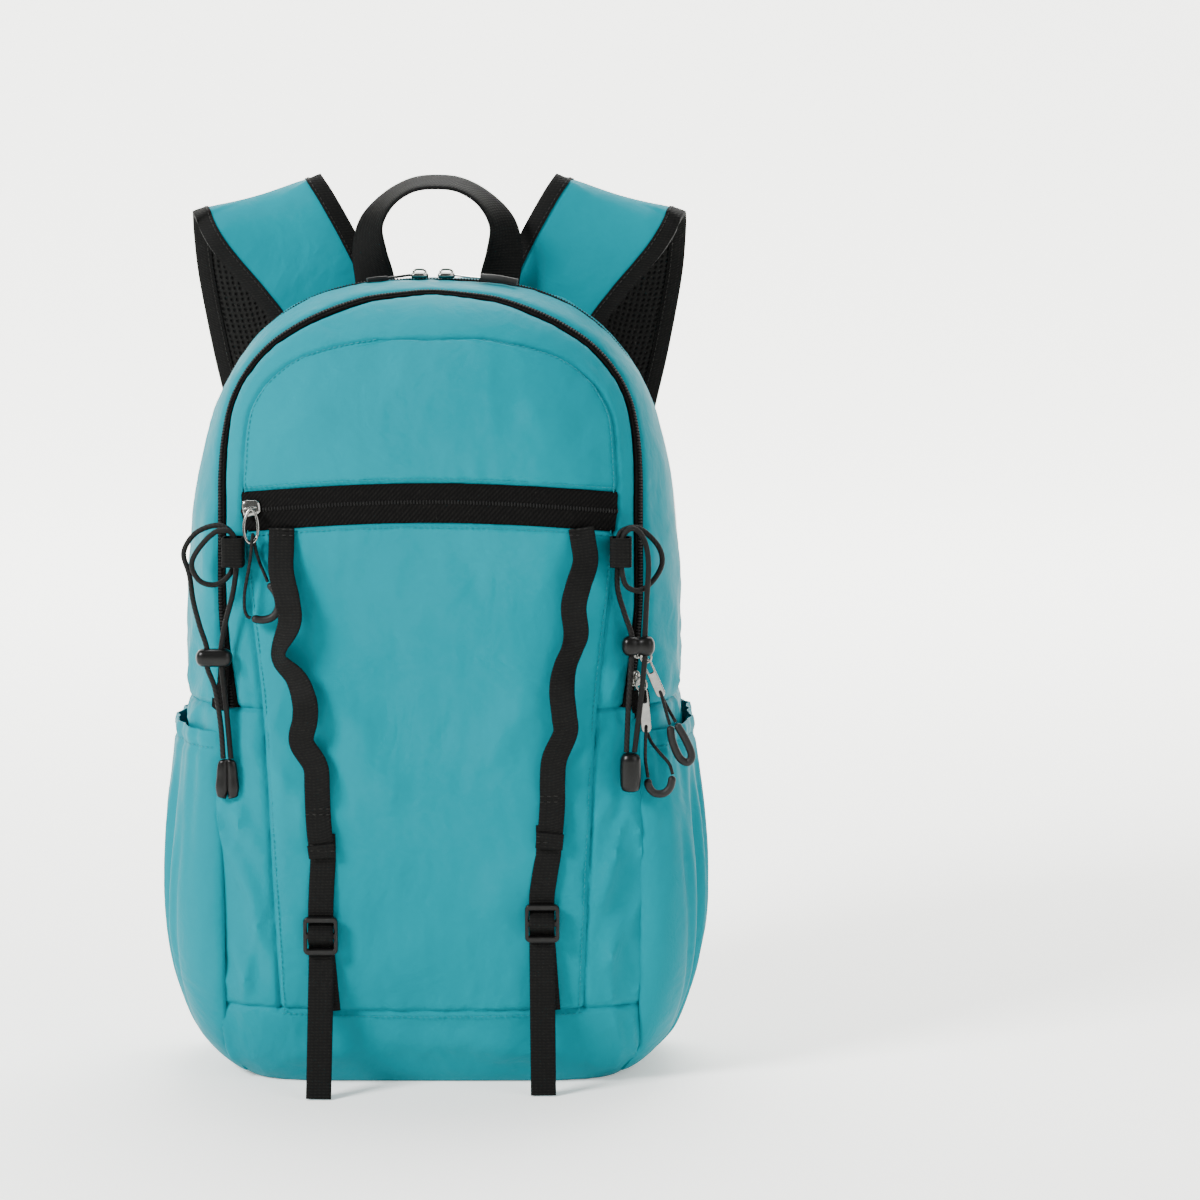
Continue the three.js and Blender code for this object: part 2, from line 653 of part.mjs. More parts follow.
// Shoulder straps, from the sewn upper end over the fold and down behind the bag. x and z are
// shares of the body's half width and height, off the distance behind the back panel in mm,
// rise the slope of the strap's width, and width and thick shares of the strap's own.
const strapStations = [
  { x: 0.45, z: 0.885, off: 5, slope: 0.02, width: 0.8, thick: 0.55 },
  { x: 0.455, z: 0.925, off: 7, slope: 0.1, width: 0.82, thick: 0.8 },
  { x: 0.485, z: 0.968, off: 8.5, slope: 0.5, width: 0.86, thick: 0.9 },
  { x: 0.57, z: 1.013, off: 9.5, slope: 0.44, width: 0.92, thick: 1 },
  { x: 0.665, z: 1.055, off: 11, slope: 0.36, width: 0.98, thick: 1 },
  { x: 0.728, z: 1.08, off: 15, slope: 0.31, width: 1, thick: 1 },
  { x: 0.755, z: 1.09, off: 23, slope: 0.29, width: 1, thick: 1 },
  { x: 0.765, z: 1.081, off: 31, slope: 0.28, width: 1, thick: 1 },
  { x: 0.765, z: 1.05, off: 37, slope: 0.22, width: 1, thick: 1 },
  { x: 0.75, z: 1, off: 40, slope: 0.1, width: 1, thick: 1 },
  { x: 0.705, z: 0.91, off: 41, slope: -0.08, width: 0.97, thick: 1 },
  { x: 0.64, z: 0.8, off: 39, slope: -0.12, width: 0.92, thick: 1 },
  { x: 0.6, z: 0.675, off: 35, slope: -0.08, width: 0.87, thick: 1 },
  { x: 0.585, z: 0.565, off: 30, slope: 0, width: 0.8, thick: 1 },
  { x: 0.585, z: 0.53, off: 28, slope: 0, width: 0.55, thick: 0.7 },
];
const backY = ridgeY + backDepth;

function strapSection({ middle, side, out, width, thick }) {
  const edge = strapEdge / 2;
  const bound = strapBinding / width;
  const profile = [
    [-0.5, -edge], [-0.5 + bound, -thick / 2], [0, -thick / 2], [0.5 - bound, -thick / 2], [0.5, -edge],
    [0.5, edge], [0.5 - bound, thick / 2], [0, thick / 2], [-0.5 + bound, thick / 2], [-0.5, edge],
  ];
  return profile.map(([u, v]) => middle.clone().addScaledVector(side, u * width).addScaledVector(out, v));
}

const mirrored = (place) => vector(-place.x, place.y, place.z);

function shoulderStrap(side) {
  const middles = strapStations.map(({ x, z, off }) => (
    vector(x * bodyHalfWidth, backY + off, z * bodyHeight)
  ));
  const rings = strapStations.map(({ slope, width, thick }, i) => {
    const before = middles[Math.max(i - 1, 0)];
    const along = middles[Math.min(i + 1, middles.length - 1)].clone().sub(before).normalize();
    const across = vector(-1, 0, slope);
    const edgeway = across.addScaledVector(along, -across.dot(along)).normalize();
    return strapSection({
      middle: middles[i],
      side: edgeway,
      out: along.clone().cross(edgeway),
      width: width * strapWidth,
      thick: Math.max(thick * strapThick, strapEdge),
    });
  });
  return loft(side === 'left' ? rings.map((ring) => ring.map(mirrored)) : rings);
}

// A ladder lock is a frame with three bars. Webbing runs behind its outer bars and over its middle one.
const bar = 3.4;
const slot = 5.6;
const lockThick = 3.2;
const lockSide = 2.2;
const lockClear = 0.6; // between the webbing's edge and the frame
const lockCorner = 2.4;
const lockHeight = 3 * bar + 2 * slot;

function ladderLock(width) {
  const outside = width + lockClear + 2 * lockSide;
  return slab(rounded(outside, lockHeight, lockCorner), lockThick, [
    rectangle(width + lockClear, slot, (bar + slot) / 2).reverse(),
    rectangle(width + lockClear, slot, -(bar + slot) / 2).reverse(),
  ]);
}

// Places along a weave through the lock: how far down it, and how far in front of its middle.
const weaveOut = lockThick / 2 + seamGap + webThick / 2;
const weaveInset = 0.4; // crossings stay this far inside a slot's ends
const weaveRun = 4; // webbing laid flat before and after the lock
const weave = [
  { down: -(lockHeight / 2 + weaveRun), out: -weaveOut },
  { down: -(bar / 2 + slot) + weaveInset, out: -weaveOut },
  { down: -(bar / 2) - weaveInset, out: weaveOut },
  { down: bar / 2 + weaveInset, out: weaveOut },
  { down: bar / 2 + slot - weaveInset, out: -weaveOut },
  { down: lockHeight / 2 + weaveRun, out: -weaveOut },
];

// Gear webbing down the front. x is a share of frontHalfWidth, z of bodyHeight, lift of gearLoop and
// width of webWidth. It stands off in loops between its tacks, and twists where it is narrow.
const gearRoutes = {
  left: {
    lockX: -60.3,
    lockZ: 91,
    endX: -61.8,
    endY: -86,
    rows: [
      { x: -0.7689, z: 0.7079, lift: 0.183, width: 1 },
      { x: -0.7631, z: 0.6876, lift: 0.375, width: 1 },
      { x: -0.7524, z: 0.6562, lift: 0.75, width: 1 },
      { x: -0.7146, z: 0.6225, lift: 1, width: 1 },
      { x: -0.7087, z: 0.5955, lift: 0.917, width: 0.9 },
      { x: -0.766, z: 0.564, lift: 0.75, width: 0.55 },
      { x: -0.7602, z: 0.5461, lift: 0.625, width: 0.7 },
      { x: -0.6874, z: 0.5258, lift: 0.625, width: 0.85 },
      { x: -0.6408, z: 0.4989, lift: 0.833, width: 1 },
      { x: -0.6408, z: 0.4764, lift: 0.833, width: 1 },
      { x: -0.667, z: 0.4472, lift: 0.583, width: 1 },
      { x: -0.599, z: 0.418, lift: 0.5, width: 1 },
      { x: -0.5903, z: 0.391, lift: 0.5, width: 1 },
      { x: -0.5922, z: 0.3596, lift: 0.217, width: 1 },
      { x: -0.5825, z: 0.3303, lift: 0.35, width: 1 },
      { x: -0.5709, z: 0.3034, lift: 0.225, width: 1.08 },
    ],
  },
  right: {
    lockX: 61.2,
    lockZ: 98,
    endX: 61.9,
    endY: -78,
    rows: [
      { x: 0.7961, z: 0.7079, lift: 0.2, width: 1 },
      { x: 0.8019, z: 0.6899, lift: 0.417, width: 1 },
      { x: 0.8019, z: 0.6674, lift: 0.75, width: 1 },
      { x: 0.7631, z: 0.6404, lift: 1, width: 1 },
      { x: 0.7427, z: 0.6135, lift: 0.917, width: 1 },
      { x: 0.7602, z: 0.582, lift: 0.667, width: 1 },
      { x: 0.7427, z: 0.5618, lift: 0.583, width: 0.85 },
      { x: 0.7058, z: 0.5393, lift: 0.667, width: 0.9 },
      { x: 0.6883, z: 0.5124, lift: 0.833, width: 1 },
      { x: 0.701, z: 0.4809, lift: 0.833, width: 1 },
      { x: 0.7087, z: 0.4584, lift: 0.708, width: 0.95 },
      { x: 0.6563, z: 0.427, lift: 0.5, width: 1 },
      { x: 0.6466, z: 0.4, lift: 0.417, width: 1 },
      { x: 0.6485, z: 0.3753, lift: 0.217, width: 1 },
      { x: 0.6408, z: 0.3461, lift: 0.35, width: 1 },
      { x: 0.6291, z: 0.3146, lift: 0.225, width: 1.08 },
    ],
  },
};
const anchorLift = seamGap + webThick / 2;
const lockLift = anchorLift + webThick + 2 * seamGap + weaveOut;

function offPanel(x, z, lift) {
  const { point, out } = skin(x, z, 'front');
  return point.addScaledVector(out, lift);
}

const gearRow = ({ x, z, lift, width }) => ({
  x: x * frontHalfWidth, z: z * bodyHeight, lift: lift * gearLoop, width: width * webWidth,
});

function gearWebbing({ rows }) {
  const places = rows.map(gearRow);
  return ribbon(places.map(({ x, z, lift, width }, i) => {
    const before = places[Math.max(i - 1, 0)];
    const after = places[Math.min(i + 1, places.length - 1)];
    const lean = (after.x - before.x) / (before.z - after.z);
    return { middle: offPanel(x, z, lift), across: vector(1, 0, lean), width, thick: webThick };
  }));
}

function gearTail({ rows, lockX, lockZ, endX, endY }) {
  const hem = gearRow(rows[rows.length - 1]);
  const flat = (middle) => ({ middle, across: vector(1, 0, 0), width: webWidth, thick: webThick });
  const lockY = offPanel(lockX, lockZ, lockLift).y;
  const tailTop = lockZ - lockHeight / 2 - weaveRun;
  const hanging = [1 / 3, 2 / 3].map((share) => flat(vector(
    mix(lockX, endX, share), mix(lockY + weaveOut, endY, share), tailTop * (1 - share),
  )));
  return ribbon([
    flat(offPanel(hem.x, hem.z + hemTuck, anchorLift)),
    flat(offPanel(hem.x, hem.z - anchorFoot, anchorLift)),
    ...weave.map(({ down, out }) => flat(vector(lockX, lockY - out, lockZ - down))),
    ...hanging,
    flat(vector(endX, endY, tailEndHeight)),
  ]);
}

function strapAnchor({ lockX, lockZ }) {
  const top = lockZ - lockHeight / 2 + bar;
  const foot = baseSeamHeight + anchorFoot;
  return ribbon([0, 0.5, 1].map((share) => ({
    middle: offPanel(lockX + anchorOffset * share, mix(top, foot, share), anchorLift),
    across: vector(1, 0, 0),
    width: webWidth,
    thick: webThick,
  })));
}

for (const [side, route] of Object.entries(gearRoutes)) {
  add(`gear_webbing_${side}`, gearWebbing(route), 'tape');
  add(`gear_tail_${side}`, gearTail(route), 'tape');
  add(`strap_anchor_${side}`, strapAnchor(route), 'tape');
  const place = offPanel(route.lockX, route.lockZ, lockLift);
  add(`ladder_lock_${side}`, moved(ladderLock(webWidth), place.x, place.y, place.z, Math.PI / 2), 'plastic');
}

// Lower strap webbing, from the adjuster under the pad to the sewn end at the base's corner.
const padEnd = strapStations[strapStations.length - 1];
const adjusterPlace = vector(
  padEnd.x * bodyHalfWidth, backY + padEnd.off, padEnd.z * bodyHeight - lockHeight / 2 - seamGap,
);

function lowerWebbing() {
  const flat = (middle) => ({ middle, across: vector(1, 0, 0), width: strapWebWidth, thick: webThick });
  const anchorX = sewnShare * bodyHalfWidth;
  const sewn = (z) => {
    const { point, out } = skin(anchorX, z, 'back');
    const across = out.clone().cross(vector(0, 0, 1));
    return { ...flat(point.addScaledVector(out, anchorLift + 2 * seamGap)), across };
  };
  const free = adjusterPlace.clone().lerp(vector(anchorX, backY, sewnTop), 0.5);
  return [
    ...weave.slice(1).map(({ down, out }) => flat(adjusterPlace.clone().add(vector(0, out, -down)))),
    flat(free),
    sewn(sewnTop),
    sewn(sewnTop - sewnRun),
  ];
}

for (const [side, hand] of [['left', -1], ['right', 1]]) {
  add(`shoulder_strap_${side}`, shoulderStrap(side), 'nylon');
  const webbing = lowerWebbing().map(({ middle, across, width, thick }) => (side === 'left'
    ? { middle: mirrored(middle), across: mirrored(across), width, thick }
    : { middle, across, width, thick }));
  add(`strap_webbing_${side}`, ribbon(webbing), 'tape');
  add(`strap_adjuster_${side}`, moved(
    ladderLock(strapWebWidth), hand * adjusterPlace.x, adjusterPlace.y, adjusterPlace.z, Math.PI / 2,
  ), 'plastic');
}

// Elastic cords: each is one piece that runs up from its cord end through the lock, loops twice
// through the webbing tab, and comes back down through the lock. Places are measured from the middle
// of the tab's front.
const elasticRoutes = {
  left: [
    [-7, 7.5, -114.4], [-8, 7.5, -97], [-10.9, 7.5, -76], [-15, 7.5, -64], [-15.2, 7.5, -53],
    [-18.9, 8, -41], [-22.4, 9, -27], [-24.4, 10.5, -13], [-27.4, 11.5, -1], [-20.9, 11.7, 9.5],
    [-9.4, 10.5, 14], [-1.4, 8.9, 10.5], [-0.2, 8.5, 1], [-0.4, 8.3, -9], [-4.9, 6.5, -15.5],
    [-11.4, 5, -18], [-18.9, 4.5, -15], [-22.4, 4.5, -6], [-16.9, 4.5, 4], [-8.4, 4.5, 11.5],
    [-0.4, 4.1, 10.5], [1.8, 4.1, 1], [1.8, 4.1, -9], [-0.4, 5, -23], [-4.4, 6, -38],
    [-7.3, 7.5, -53], [-7.2, 7.5, -64], [-4.9, 7.5, -87], [-2.8, 7.5, -114.4],
  ],
  right: [
    [3.2, 5, -110.4], [4.2, 5.5, -85], [5.9, 7.5, -58], [5.9, 7.5, -46], [2, 8, -34],
    [-1.6, 8.2, -21], [-1.8, 7.9, -9], [-1.4, 7.9, 1], [0, 8.3, 10.5], [9.6, 10.5, 12.5],
    [20.1, 12, 3], [22.6, 12, -7], [17.6, 11, -16.5], [10.1, 8.5, -21.5], [3, 5.5, -18.5],
    [0.4, 4.1, -9], [0, 4.1, 1], [2, 4.1, 10], [7.1, 4.1, 13], [12.6, 4.7, 7],
    [15.1, 5.7, -6], [14.2, 6.5, -26], [13.3, 7.5, -46], [13.3, 7.5, -58], [10.6, 5.5, -85],
    [7.6, 5, -110.4],
  ],
};
const elasticSteps = 48;

// The webbing tab is a flattened loop, sewn to the side seam behind it.
const tabHeight = 16;
const tabWall = 1.3;

function tabRoot(side) {
  return offPanel(Math.abs(tabX[side]) - tabHole / 2 - tabWall, tabZ, 2 * seamGap).y;
}
const tabFronts = Object.fromEntries(['left', 'right'].map((side) => (
  [side, vector(tabX[side], tabRoot(side) - tabReach[side], tabZ)]
)));
const offTab = (side, place) => vector(...place).add(tabFronts[side]);

function cordTab(side) {
  const deep = tabReach[side];
  const tab = slab(
    rounded(deep, tabHole + 2 * tabWall, 2),
    tabHeight,
    [rounded(deep - 2 * tabWall - 2, tabHole, 1.4).reverse()],
  );
  const { x, y, z } = tabFronts[side];
  return moved(tab, x, y + deep / 2, z, 0, 0, Math.PI / 2);
}

// A cord lock is a barrel with one bore for each run of the cord.
function cordLock(width, height, bores) {
  const bore = (x) => Array.from({ length: 8 }, (_, i) => [
    x + lockBore * Math.cos((i * Math.PI) / 4), lockBore * Math.sin((i * Math.PI) / 4),
  ]).reverse();
  return slab(rounded(width, lockDepth, 2.8), height, bores.map(bore));
}

// A cord end closes over both ends of the cord and narrows to its foot.
function cordEnd({ top, foot, width, height, depth, lean }) {
  const rings = foot.map(({ fall, share }) => rounded(width * share, depth * share, 0.22 * width * share)
    .map(([x, y]) => vector(top[0] + x + lean * fall * height, top[1] + y, top[2] - fall * height)));
  return loft(rings);
}
const leafForm = [
  { fall: 0, share: 0.62 }, { fall: 0.12, share: 0.8 }, { fall: 0.5, share: 0.9 },
  { fall: 0.85, share: 1 }, { fall: 1, share: 0.82 },
];
const barrelForm = [
  { fall: 0, share: 0.7 }, { fall: 0.1, share: 0.95 }, { fall: 0.5, share: 1 },
  { fall: 0.88, share: 0.95 }, { fall: 1, share: 0.7 },
];

for (const side of ['left', 'right']) {
  const route = elasticRoutes[side].map((place) => offTab(side, place));
  add(`elastic_cord_${side}`, tube(route, elasticDiameter, 8, elasticSteps), 'cord');
  add(`cord_tab_${side}`, cordTab(side), 'tape');
}
const cordLocks = {
  left: { width: 20, height: 10, bore: 3.95, place: [-11.2, 7.5, -58.5] },
  right: { width: 18, height: 11, bore: 3.7, place: [9.6, 7.5, -52] },
};
for (const [side, { width, height, bore, place }] of Object.entries(cordLocks)) {
  const { x, y, z } = offTab(side, place);
  add(`cord_lock_${side}`, moved(cordLock(width, height, [-bore, bore]), x, y, z), 'plastic');
}
const cordEnds = {
  left: { top: [-4.9, 7.5, -114.8], foot: leafForm, width: 13, height: 22, depth: 6, lean: 0.02 },
  right: { top: [5.4, 5, -110.8], foot: barrelForm, width: 11.5, height: 22, depth: 10, lean: 0 },
};
for (const [side, form] of Object.entries(cordEnds)) {
  add(`cord_end_${side}`, cordEnd(form).translate(...tabFronts[side].toArray()), 'plastic');
}

// Zip sliders: a block on the zip with a bail, and the pulls that hang or lie from them.
function sliderBlock({ width, length }, height) {
  const block = slab(rounded(width, length, sliderCorner), height);
  const bail = slab(rounded(width * 0.5, length * 0.55, bailThick / 2), bailThick)
    .translate(0, length * 0.08, height / 2 + 0.4 * bailThick);
  return join(block, bail);
}

function onZip(z, lift) {
  const { point, out } = skin(zipHalfWidthAt(z), z, 'front');
  return { place: point.addScaledVector(out, lift), turn: Math.atan2(out.x, -out.y) };
}

// Height of the crown over a place in plan.
function crownAt(x, y) {
  const share = (ridgeY - y) / frontDepth;
  const gauge = share > 0 ? (1 - share ** frontPowerTop) ** (1 / frontPowerTop) : 1;
  const across = (Math.abs(x) / bodyHalfWidth) ** crownPower;
  return waistHeight + crownRise * (gauge ** crownPower - across) ** (1 / crownPower);
}

const sliderLift = seamGap + sliderHeight / 2;
const pocketSliderZ = pocketZipTop - 0.69 * pocketZipDrop; // the band sags at its ends
const pocketSlider = offPanel(pocketSliderX, pocketSliderZ, sliderLift + seamGap);
const pocketFacing = skin(pocketSliderX, pocketSliderZ, 'front').out;
add('pocket_zip_slider', moved(
  sliderBlock(sliderSizes.pocket, sliderHeight), pocketSlider.x, pocketSlider.y, pocketSlider.z,
  Math.PI / 2, -Math.PI / 2, Math.atan2(pocketFacing.x, -pocketFacing.y),
), 'steel');
for (const [name, z] of Object.entries(frontSliderZ)) {
  const { place, turn } = onZip(z, sliderLift);
  add(`front_zip_slider_${name}`, moved(
    sliderBlock(sliderSizes.front, sliderHeight), place.x, place.y, place.z, Math.PI / 2, 0, turn,
  ), 'steel');
}
for (const [side, x] of Object.entries(mainSliderX)) {
  const y = ridgeY + slidersFromRidge;
  add(`main_zip_slider_${side}`, moved(
    sliderBlock(sliderSizes.main, sliderHeight), x, y, crownAt(x, y) + sliderLift + seamGap / 2,
    0, 0, Math.PI / 2,
  ), 'steel');
}

// Pulls of the main zip lie outward along the crown: x, y and lift off the crown in mm.
function crownBand({ rows, width, thick }) {
  return ribbon(rows.map(({ x, y, lift }) => ({
    middle: vector(x, y, crownAt(x, y) + lift), across: vector(0, 1, 0), width, thick,
  })));
}
const crownPulls = {
  left: {
    link: { width: 3.2, thick: 1.4, rows: [
      { x: -13.4, y: 17, lift: 2.6 }, { x: -20, y: 14.5, lift: 2 }, { x: -30, y: 11, lift: 1.6 },
    ] },
    grip: { width: 4.6, thick: 2.2, rows: [
      { x: -26, y: 12, lift: 1.8 }, { x: -31, y: 10.6, lift: 2 }, { x: -37, y: 9, lift: 1.9 },
    ] },
  },
  right: {
    link: { width: 3.4, thick: 1.4, rows: [
      { x: 12.4, y: 17, lift: 2.6 }, { x: 20, y: 13.5, lift: 2 }, { x: 29, y: 9.5, lift: 2 },
    ] },
    grip: { width: 5.4, thick: 3.6, rows: [
      { x: 27, y: 10, lift: 2.6 }, { x: 36, y: 7, lift: 2.9 }, { x: 47, y: 5, lift: 2.8 },
    ] },
  },
};
for (const [side, { link, grip }] of Object.entries(crownPulls)) {
  add(`main_zip_pull_${side}`, join(crownBand(link), crownBand(grip)), 'plastic');
}

// A wire ring, drawn out along Z.
function wireRing(radius, wire, stretch) {
  return new THREE.TorusGeometry(radius, wire / 2, 6, 12).rotateX(Math.PI / 2).scale(1, 1, stretch);
}

// Hanging pulls: a ring through the slider's bail and the tag that it carries, a thin cord looped
// through the tag, and a rubber grip that closes the loop. Routes are chosen points in
// mm, measured from the ring or the slider that the pull hangs from.
const bailFront = sliderHeight / 2 + 0.9 * bailThick;
const pocketRing = { radius: 3.8, stretch: 2.4, wire: 1.7, lean: -0.2, forward: 4.15, fall: 9 };
const ringMiddle = pocketSlider.clone().sub(vector(0, bailFront + pocketRing.forward, pocketRing.fall));
add('pocket_zip_pull', moved(
  wireRing(pocketRing.radius, pocketRing.wire, pocketRing.stretch), ...ringMiddle, pocketRing.lean,
), 'steel');

const hangingPulls = {
  pocket_pull: {
    from: ringMiddle,
    cord: [
      [-0.5, -2.6, -50], [-2.5, -2.6, -48.8], [-3.9, -2.6, -44.4], [-3.6, -2.6, -35.4],
      [-1.4, -2.7, -23.4], [0.2, -3.9, -13.4], [0.6, -3.9, -7.9], [1, -1.1, -4.4],
      [1.4, 2.5, -7.9], [2.2, 2.9, -13.4],
      [4.4, 1.3, -20.4], [6.8, -1.1, -25.4], [8.9, -2.4, -30.2],
    ],
    grip: [
      [9.3, -2.5, -31], [13.4, -2.9, -36.4], [14.8, -3.1, -43.4], [11.8, -2.9, -49], [6.4, -2.7, -51],
      [-0.1, -2.6, -50.2],
    ],
  },
  lower_pull: {
    from: onZip(frontSliderZ.lower, sliderLift).place,
    cord: [
      [7.5, -6.2, -54.1], [6.1, -6.6, -44], [6.1, -7.2, -35], [6.4, -7.2, -28.6], [6.5, -4.8, -25.6],
      [6.8, -2.3, -28.4], [9.3, -2.2, -35], [14.1, -3.7, -41], [19.1, -5.5, -46.6], [21.1, -6.2, -52.4],
    ],
    grip: [
      [7.6, -6.2, -54.8], [7.9, -6.2, -59], [11.1, -6.2, -62.8], [16.1, -6.2, -63], [19.7, -6.2, -59.6],
      [21.1, -6.2, -53.2],
    ],
  },
  upper_pull: {
    from: onZip(frontSliderZ.upper, sliderLift).place,
    cord: [
      [17.2, -4.5, -40.2], [15.2, -6.5, -33], [13.2, -7.4, -25.6], [11.9, -4.6, -21.9],
      [13.3, -1.7, -25.8], [16.8, -2.7, -32.6], [20.5, -4.5, -39],
    ],
    grip: [
      [17.4, -4.5, -41], [18.8, -4.5, -50], [22.8, -4.5, -59], [27.4, -4.5, -61.4], [29.2, -4.5, -57],
      [25.8, -4.5, -48.5], [20.8, -4.5, -39.8],
    ],
  },
};
for (const [name, { from, cord, grip }] of Object.entries(hangingPulls)) {
  const line = (route) => route.map((place) => vector(...place).add(from));
  add(`${name}_cord`, tube(line(cord), pullCordDiameter, 6, pullCordSteps), 'cord');
  add(`${name}_grip`, tube(line(grip), gripDiameter, 8, gripSteps), 'plastic');
}

// A flat metal tag with an eye at its top end, which hangs along -Y until it is turned up.
const tagThick = 1.8;
const tagRim = 1.2; // metal left round the eye
const tagEye = 7;

function tag(width, height) {
  const eyeMiddle = tagEye / 2 + tagRim - height / 2;
  const eye = rounded(width - 2 * tagRim, tagEye, 0.8).map(([x, y]) => [x, y + eyeMiddle]);
  return slab(rounded(width, height, tagRim), tagThick, [eye.reverse()]);
}

// Pulls of the front zip: a small ring on the bail, and a tag tilted out to the side from it.
const smallRing = { radius: 2.8, wire: 1.4, stretch: 1.3, aside: 1.2, forward: 0.4, fall: 2.4 };
const frontPulls = {
  lower: { width: 5.6, height: 25, aside: 3, fall: 17, tilt: -0.09 },
  upper: { width: 5.2, height: 23, aside: 5.6, fall: 14.5, tilt: -0.42 },
};
for (const [name, { width, height, aside, fall, tilt }] of Object.entries(frontPulls)) {
  const { x, y, z } = onZip(frontSliderZ[name], sliderLift + bailFront + seamGap + tagThick / 2).place;
  add(`front_zip_pull_${name}`, join(
    moved(
      wireRing(smallRing.radius, smallRing.wire, smallRing.stretch),
      x + smallRing.aside, y - smallRing.forward, z - smallRing.fall,
    ),
    moved(tag(width, height), x + aside, y - 1.5 * smallRing.forward, z - fall, Math.PI / 2, tilt),
  ), 'steel');
}

export default backpack;
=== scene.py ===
# The dressed packable backpack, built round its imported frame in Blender 4.5. Sizes are in millimetres
# until a mesh is made, and then in metres: the front faces -Y, the back panel +Y, and Z is up.
import math
import bpy
import numpy as np
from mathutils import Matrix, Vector, noise


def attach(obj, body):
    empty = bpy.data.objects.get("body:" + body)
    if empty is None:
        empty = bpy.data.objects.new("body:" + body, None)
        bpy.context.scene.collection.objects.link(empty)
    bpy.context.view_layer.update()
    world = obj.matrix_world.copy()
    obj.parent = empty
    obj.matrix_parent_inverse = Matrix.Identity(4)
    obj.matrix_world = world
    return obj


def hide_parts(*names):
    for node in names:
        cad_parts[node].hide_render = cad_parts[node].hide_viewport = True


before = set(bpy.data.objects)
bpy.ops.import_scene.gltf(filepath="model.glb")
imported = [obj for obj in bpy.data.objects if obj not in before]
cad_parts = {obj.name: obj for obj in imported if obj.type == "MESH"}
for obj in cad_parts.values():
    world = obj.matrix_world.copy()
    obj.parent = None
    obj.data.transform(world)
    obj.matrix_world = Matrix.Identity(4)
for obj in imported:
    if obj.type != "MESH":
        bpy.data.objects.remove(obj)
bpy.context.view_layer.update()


# The studio: a seamless sweep of pale paper that the bag stands on, which shines with a painted glow that
# grows toward its back, under three soft lamps and an even room. The camera stands a little above the bag's
# top,
# 2.2 metres in front of it, and looks down by eight degrees.
def linear(code):
    """The linear colour of an sRGB hex code."""
    channels = [int(code[i:i + 2], 16) / 255 for i in (1, 3, 5)]
    return [c / 12.92 if c <= 0.04045 else ((c + 0.055) / 1.055) ** 2.4 for c in channels] + [1.0]


def put(tree, kind, settings=None, inputs=None):
    """Adds a node with its settings, and its inputs as values or as links from other sockets."""
    node = tree.nodes.new(kind)
    for key, value in (settings or {}).items():
        setattr(node, key, value)
    for key, value in (inputs or {}).items():
        if isinstance(value, bpy.types.NodeSocket):
            tree.links.new(value, node.inputs[key])
        else:
            node.inputs[key].default_value = value
    return node


def material(name, **sockets):
    """An empty material with its shader, whose even values are set on the shader's own sockets."""
    made = bpy.data.materials.new(name)
    made.use_nodes = True
    shader = made.node_tree.nodes["Principled BSDF"]
    for key, value in sockets.items():
        shader.inputs[key.replace("_", " ")].default_value = value
    return made, made.node_tree, shader


def mottle(tree, scale, **more):
    """Fine noise in the object's own space, from 0 to 1."""
    where = put(tree, "ShaderNodeTexCoord").outputs["Object"]
    return put(tree, "ShaderNodeTexNoise", inputs={"Vector": where, "Scale": scale, **more}).outputs["Fac"]


def into_scene(name, data):
    """A new object with its data, linked to the scene."""
    thing = bpy.data.objects.new(name, data)
    bpy.context.scene.collection.objects.link(thing)
    return thing


def new_piece(name, points, faces, finishes, uv=None, finish_of=None):
    """A smooth mesh object from points in mm, with its map in mm for each corner of each face."""
    mesh = bpy.data.meshes.new(name)
    mesh.from_pydata((np.asarray(points) * 0.001).tolist(), [], [list(map(int, f)) for f in faces])
    for finish in finishes:
        mesh.materials.append(finish)
    if uv is not None:
        mesh.uv_layers.new(name="UVMap").data.foreach_set("uv", (np.asarray(uv) * 0.001).ravel())
    if finish_of is not None:
        mesh.polygons.foreach_set("material_index", np.asarray(finish_of, dtype=np.int32))
    mesh.polygons.foreach_set("use_smooth", np.ones(len(mesh.polygons), dtype=bool))
    mesh.set_sharp_from_angle(angle=math.radians(48))
    mesh.update()
    return into_scene(name, mesh)


def vertex_places(mesh):
    """The mesh's vertices in metres, a row each."""
    places = np.empty(len(mesh.vertices) * 3)
    mesh.vertices.foreach_get("co", places)
    return places.reshape(-1, 3)


def dress(piece, slot, *nodes):
    """Ties a piece to the bag's one body and hides the CAD nodes it stands for. Its colour slot is not used.
    """
    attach(piece, "root")
    if nodes:
        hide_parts(*nodes)


paper, tree, shader = material("seamless_paper", Roughness=0.9)
shader.inputs["Base Color"].default_value = linear("#FBFBF8")
place = put(tree, "ShaderNodeTexCoord").outputs["Object"]
tooth = mottle(tree, 260.0, Detail=3.0)
bump = put(tree, "ShaderNodeBump", inputs={"Height": tooth, "Strength": 0.05, "Distance": 0.0004})
tree.links.new(bump.outputs["Normal"], shader.inputs["Normal"])
depth = put(tree, "ShaderNodeSeparateXYZ", inputs={"Vector": place})
# Painted glow: the paper gives off light of its own, from 0.3 near the bag up to 2.9 at its back, so it
# shines and lights the scene though it is no lamp.
painted_glow = put(tree, "ShaderNodeMapRange", {"interpolation_type": "SMOOTHSTEP"}, {
    "Value": depth.outputs["Y"], "From Min": -0.1, "From Max": 2.4, "To Min": 0.3, "To Max": 2.9})
shader.inputs["Emission Color"].default_value = linear("#FBFBF6")
tree.links.new(painted_glow.outputs["Result"], shader.inputs["Emission Strength"])

